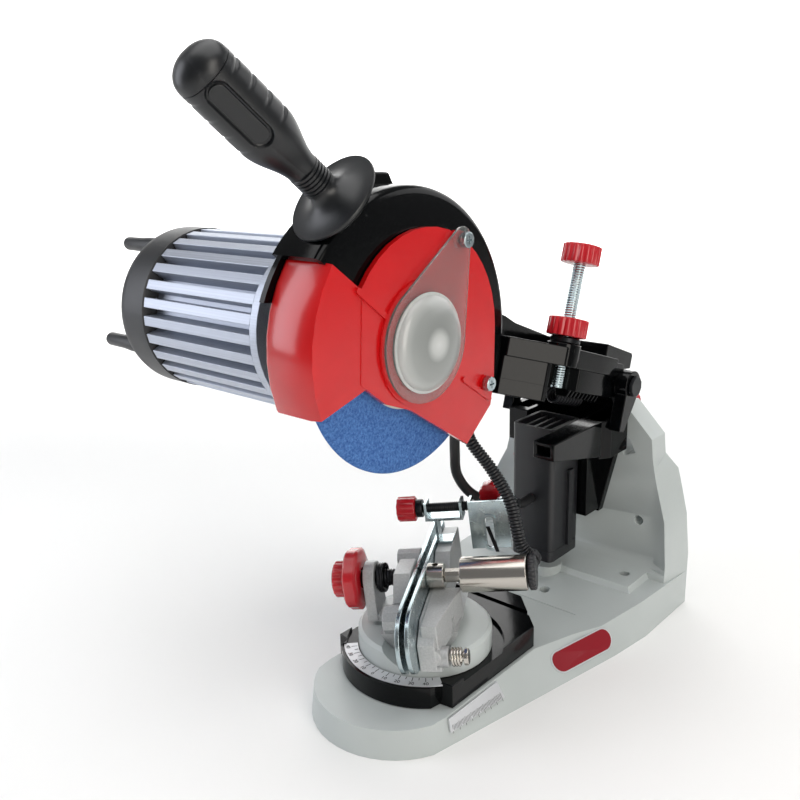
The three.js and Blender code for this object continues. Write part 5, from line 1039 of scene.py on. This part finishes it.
# %% [markdown]
# ## Badge place
# The right flank carries a small badge. It stays blank: a plain enamelled plate with
# a pale rim. A ray from the camera side finds the flank, and the plate lies on it.

# %% Blank badge
base_skin = skin_of("base_casting")
badge_spot, badge_normal, _, _ = base_skin.ray_cast(Vector((150, 77, 8.8)) * MM, Vector((-1, 0, 0)))
if badge_spot is not None:
    badge_normal = badge_normal if badge_normal.x > 0 else -badge_normal
    badge_up = (Vector((0, 0, 1)) - badge_normal * badge_normal.z).normalized()
    badge_across = badge_up.cross(badge_normal)
    BADGE = frame_of(badge_across, badge_up, badge_normal, badge_spot)
    for label, half_u, half_v, lift, finish in (
            ("rim", 24.8, 7.0, 0.45, satin_dial), ("face", 24.0, 6.2, 0.7, badge_enamel)):
        rings = [pill(half_u * k, half_v * k, half_v * k * 0.98, 8) for k in (1.0, 0.85, 0.6, 0.3, 0.02)]
        points, count = [], len(rings[0])
        for ring, height in [(rings[0], -0.4)] + [(r, lift) for r in rings]:
            for u, v in ring:
                spot = base_skin.ray_cast(BADGE @ (Vector((u, v, 20)) * MM), -badge_normal)[0]
                points.append((spot + badge_normal * height * MM) / MM)
        faces = hoops(len(rings) + 1, count, capped=False) + [tuple(len(rings) * count + i for i in range(count))]
        piece(f"badge_{label}", points, faces, finish, "base", crease=45)
    print("badge at", [round(c / MM) for c in badge_spot])

# %% [markdown]
# ## Studio
# The machine stands on a seamless pale sweep. One large softbox hangs above it, one
# stands at each side to draw long highlights on black enamel and steel, a weak one
# stands behind, and one lights only the back of the sweep. The world adds even fill,
# so that no shadow turns black.

# %% Floor and lights
floor_paint = patterned("pale_studio_paper", "#f4f4f3", 0.7, {"Roughness": (3, 3.0, 0.65, 0.75)}, IOR=1.45)
sweep = [(-2600, -0.05)] + [(u, v) for v, u in round_end(699.95, 1500, 700, 180, 90, 9)] + [(2200, 2600)]
away, beside = (Vector((cos(CAMERA_TURN + quarter), sin(CAMERA_TURN + quarter), 0))
                for quarter in (pi / 2, 0))
floor_points = [away * d + beside * w + Vector((0, 0, h)) for d, h in sweep for w in (-3200, 3200)]
floor_faces = [(2 * i, 2 * i + 1, 2 * i + 3, 2 * i + 2) for i in range(len(sweep) - 1)]
floor = piece("studio_sweep", floor_points, floor_faces, floor_paint, None)
floor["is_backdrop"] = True


def softbox(name, spot, aim, width, height, power, colour="#ffffff", spread=180):
    """A rectangular lamp that faces its aim."""
    lamp = bpy.data.lights.new(name, "AREA")
    lamp.shape = "RECTANGLE"
    lamp.size, lamp.size_y = width * MM, height * MM
    lamp.energy = power
    lamp.spread = radians(spread)
    lamp.color = linear(colour)[:3]
    made = placed(name, lamp)
    made.location = Vector(spot) * MM
    made.rotation_euler = (Vector(aim) - Vector(spot)).to_track_quat("-Z", "Y").to_euler()


softbox("top_softbox", (0, -50, 1100), (0, 20, 100), 1200, 1000, 7.4)
softbox("left_softbox", (-900, -700, 520), (0, 0, 160), 600, 900, 5.2, "#f4f7ff")
softbox("right_softbox", (950, -350, 450), (0, 40, 140), 500, 900, 5.6, "#fffaf2")
softbox("rear_softbox", (350, 900, 600), (0, 60, 150), 900, 600, 2.4)
softbox("sweep_softbox", away * 900 + Vector((0, 0, 1900)), away * 2200 + Vector((0, 0, 500)), 2400, 600, 52,
        spread=110)
world = bpy.data.worlds.new("studio_world")
world.use_nodes = True
sky = world.node_tree.nodes["Background"]
sky.inputs["Color"].default_value, sky.inputs["Strength"].default_value = linear("#f2f3f5"), 0.22
bpy.context.scene.world = world
bpy.context.scene.view_settings.view_transform = "Standard"
print("lights:", len(bpy.data.lights))

# %% Sizes and finish
visual_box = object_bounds()
for label, box in (("solids", cad_box), ("dressed", visual_box)):
    print(label, [round(c / MM) for c in (box[1] - box[0])])
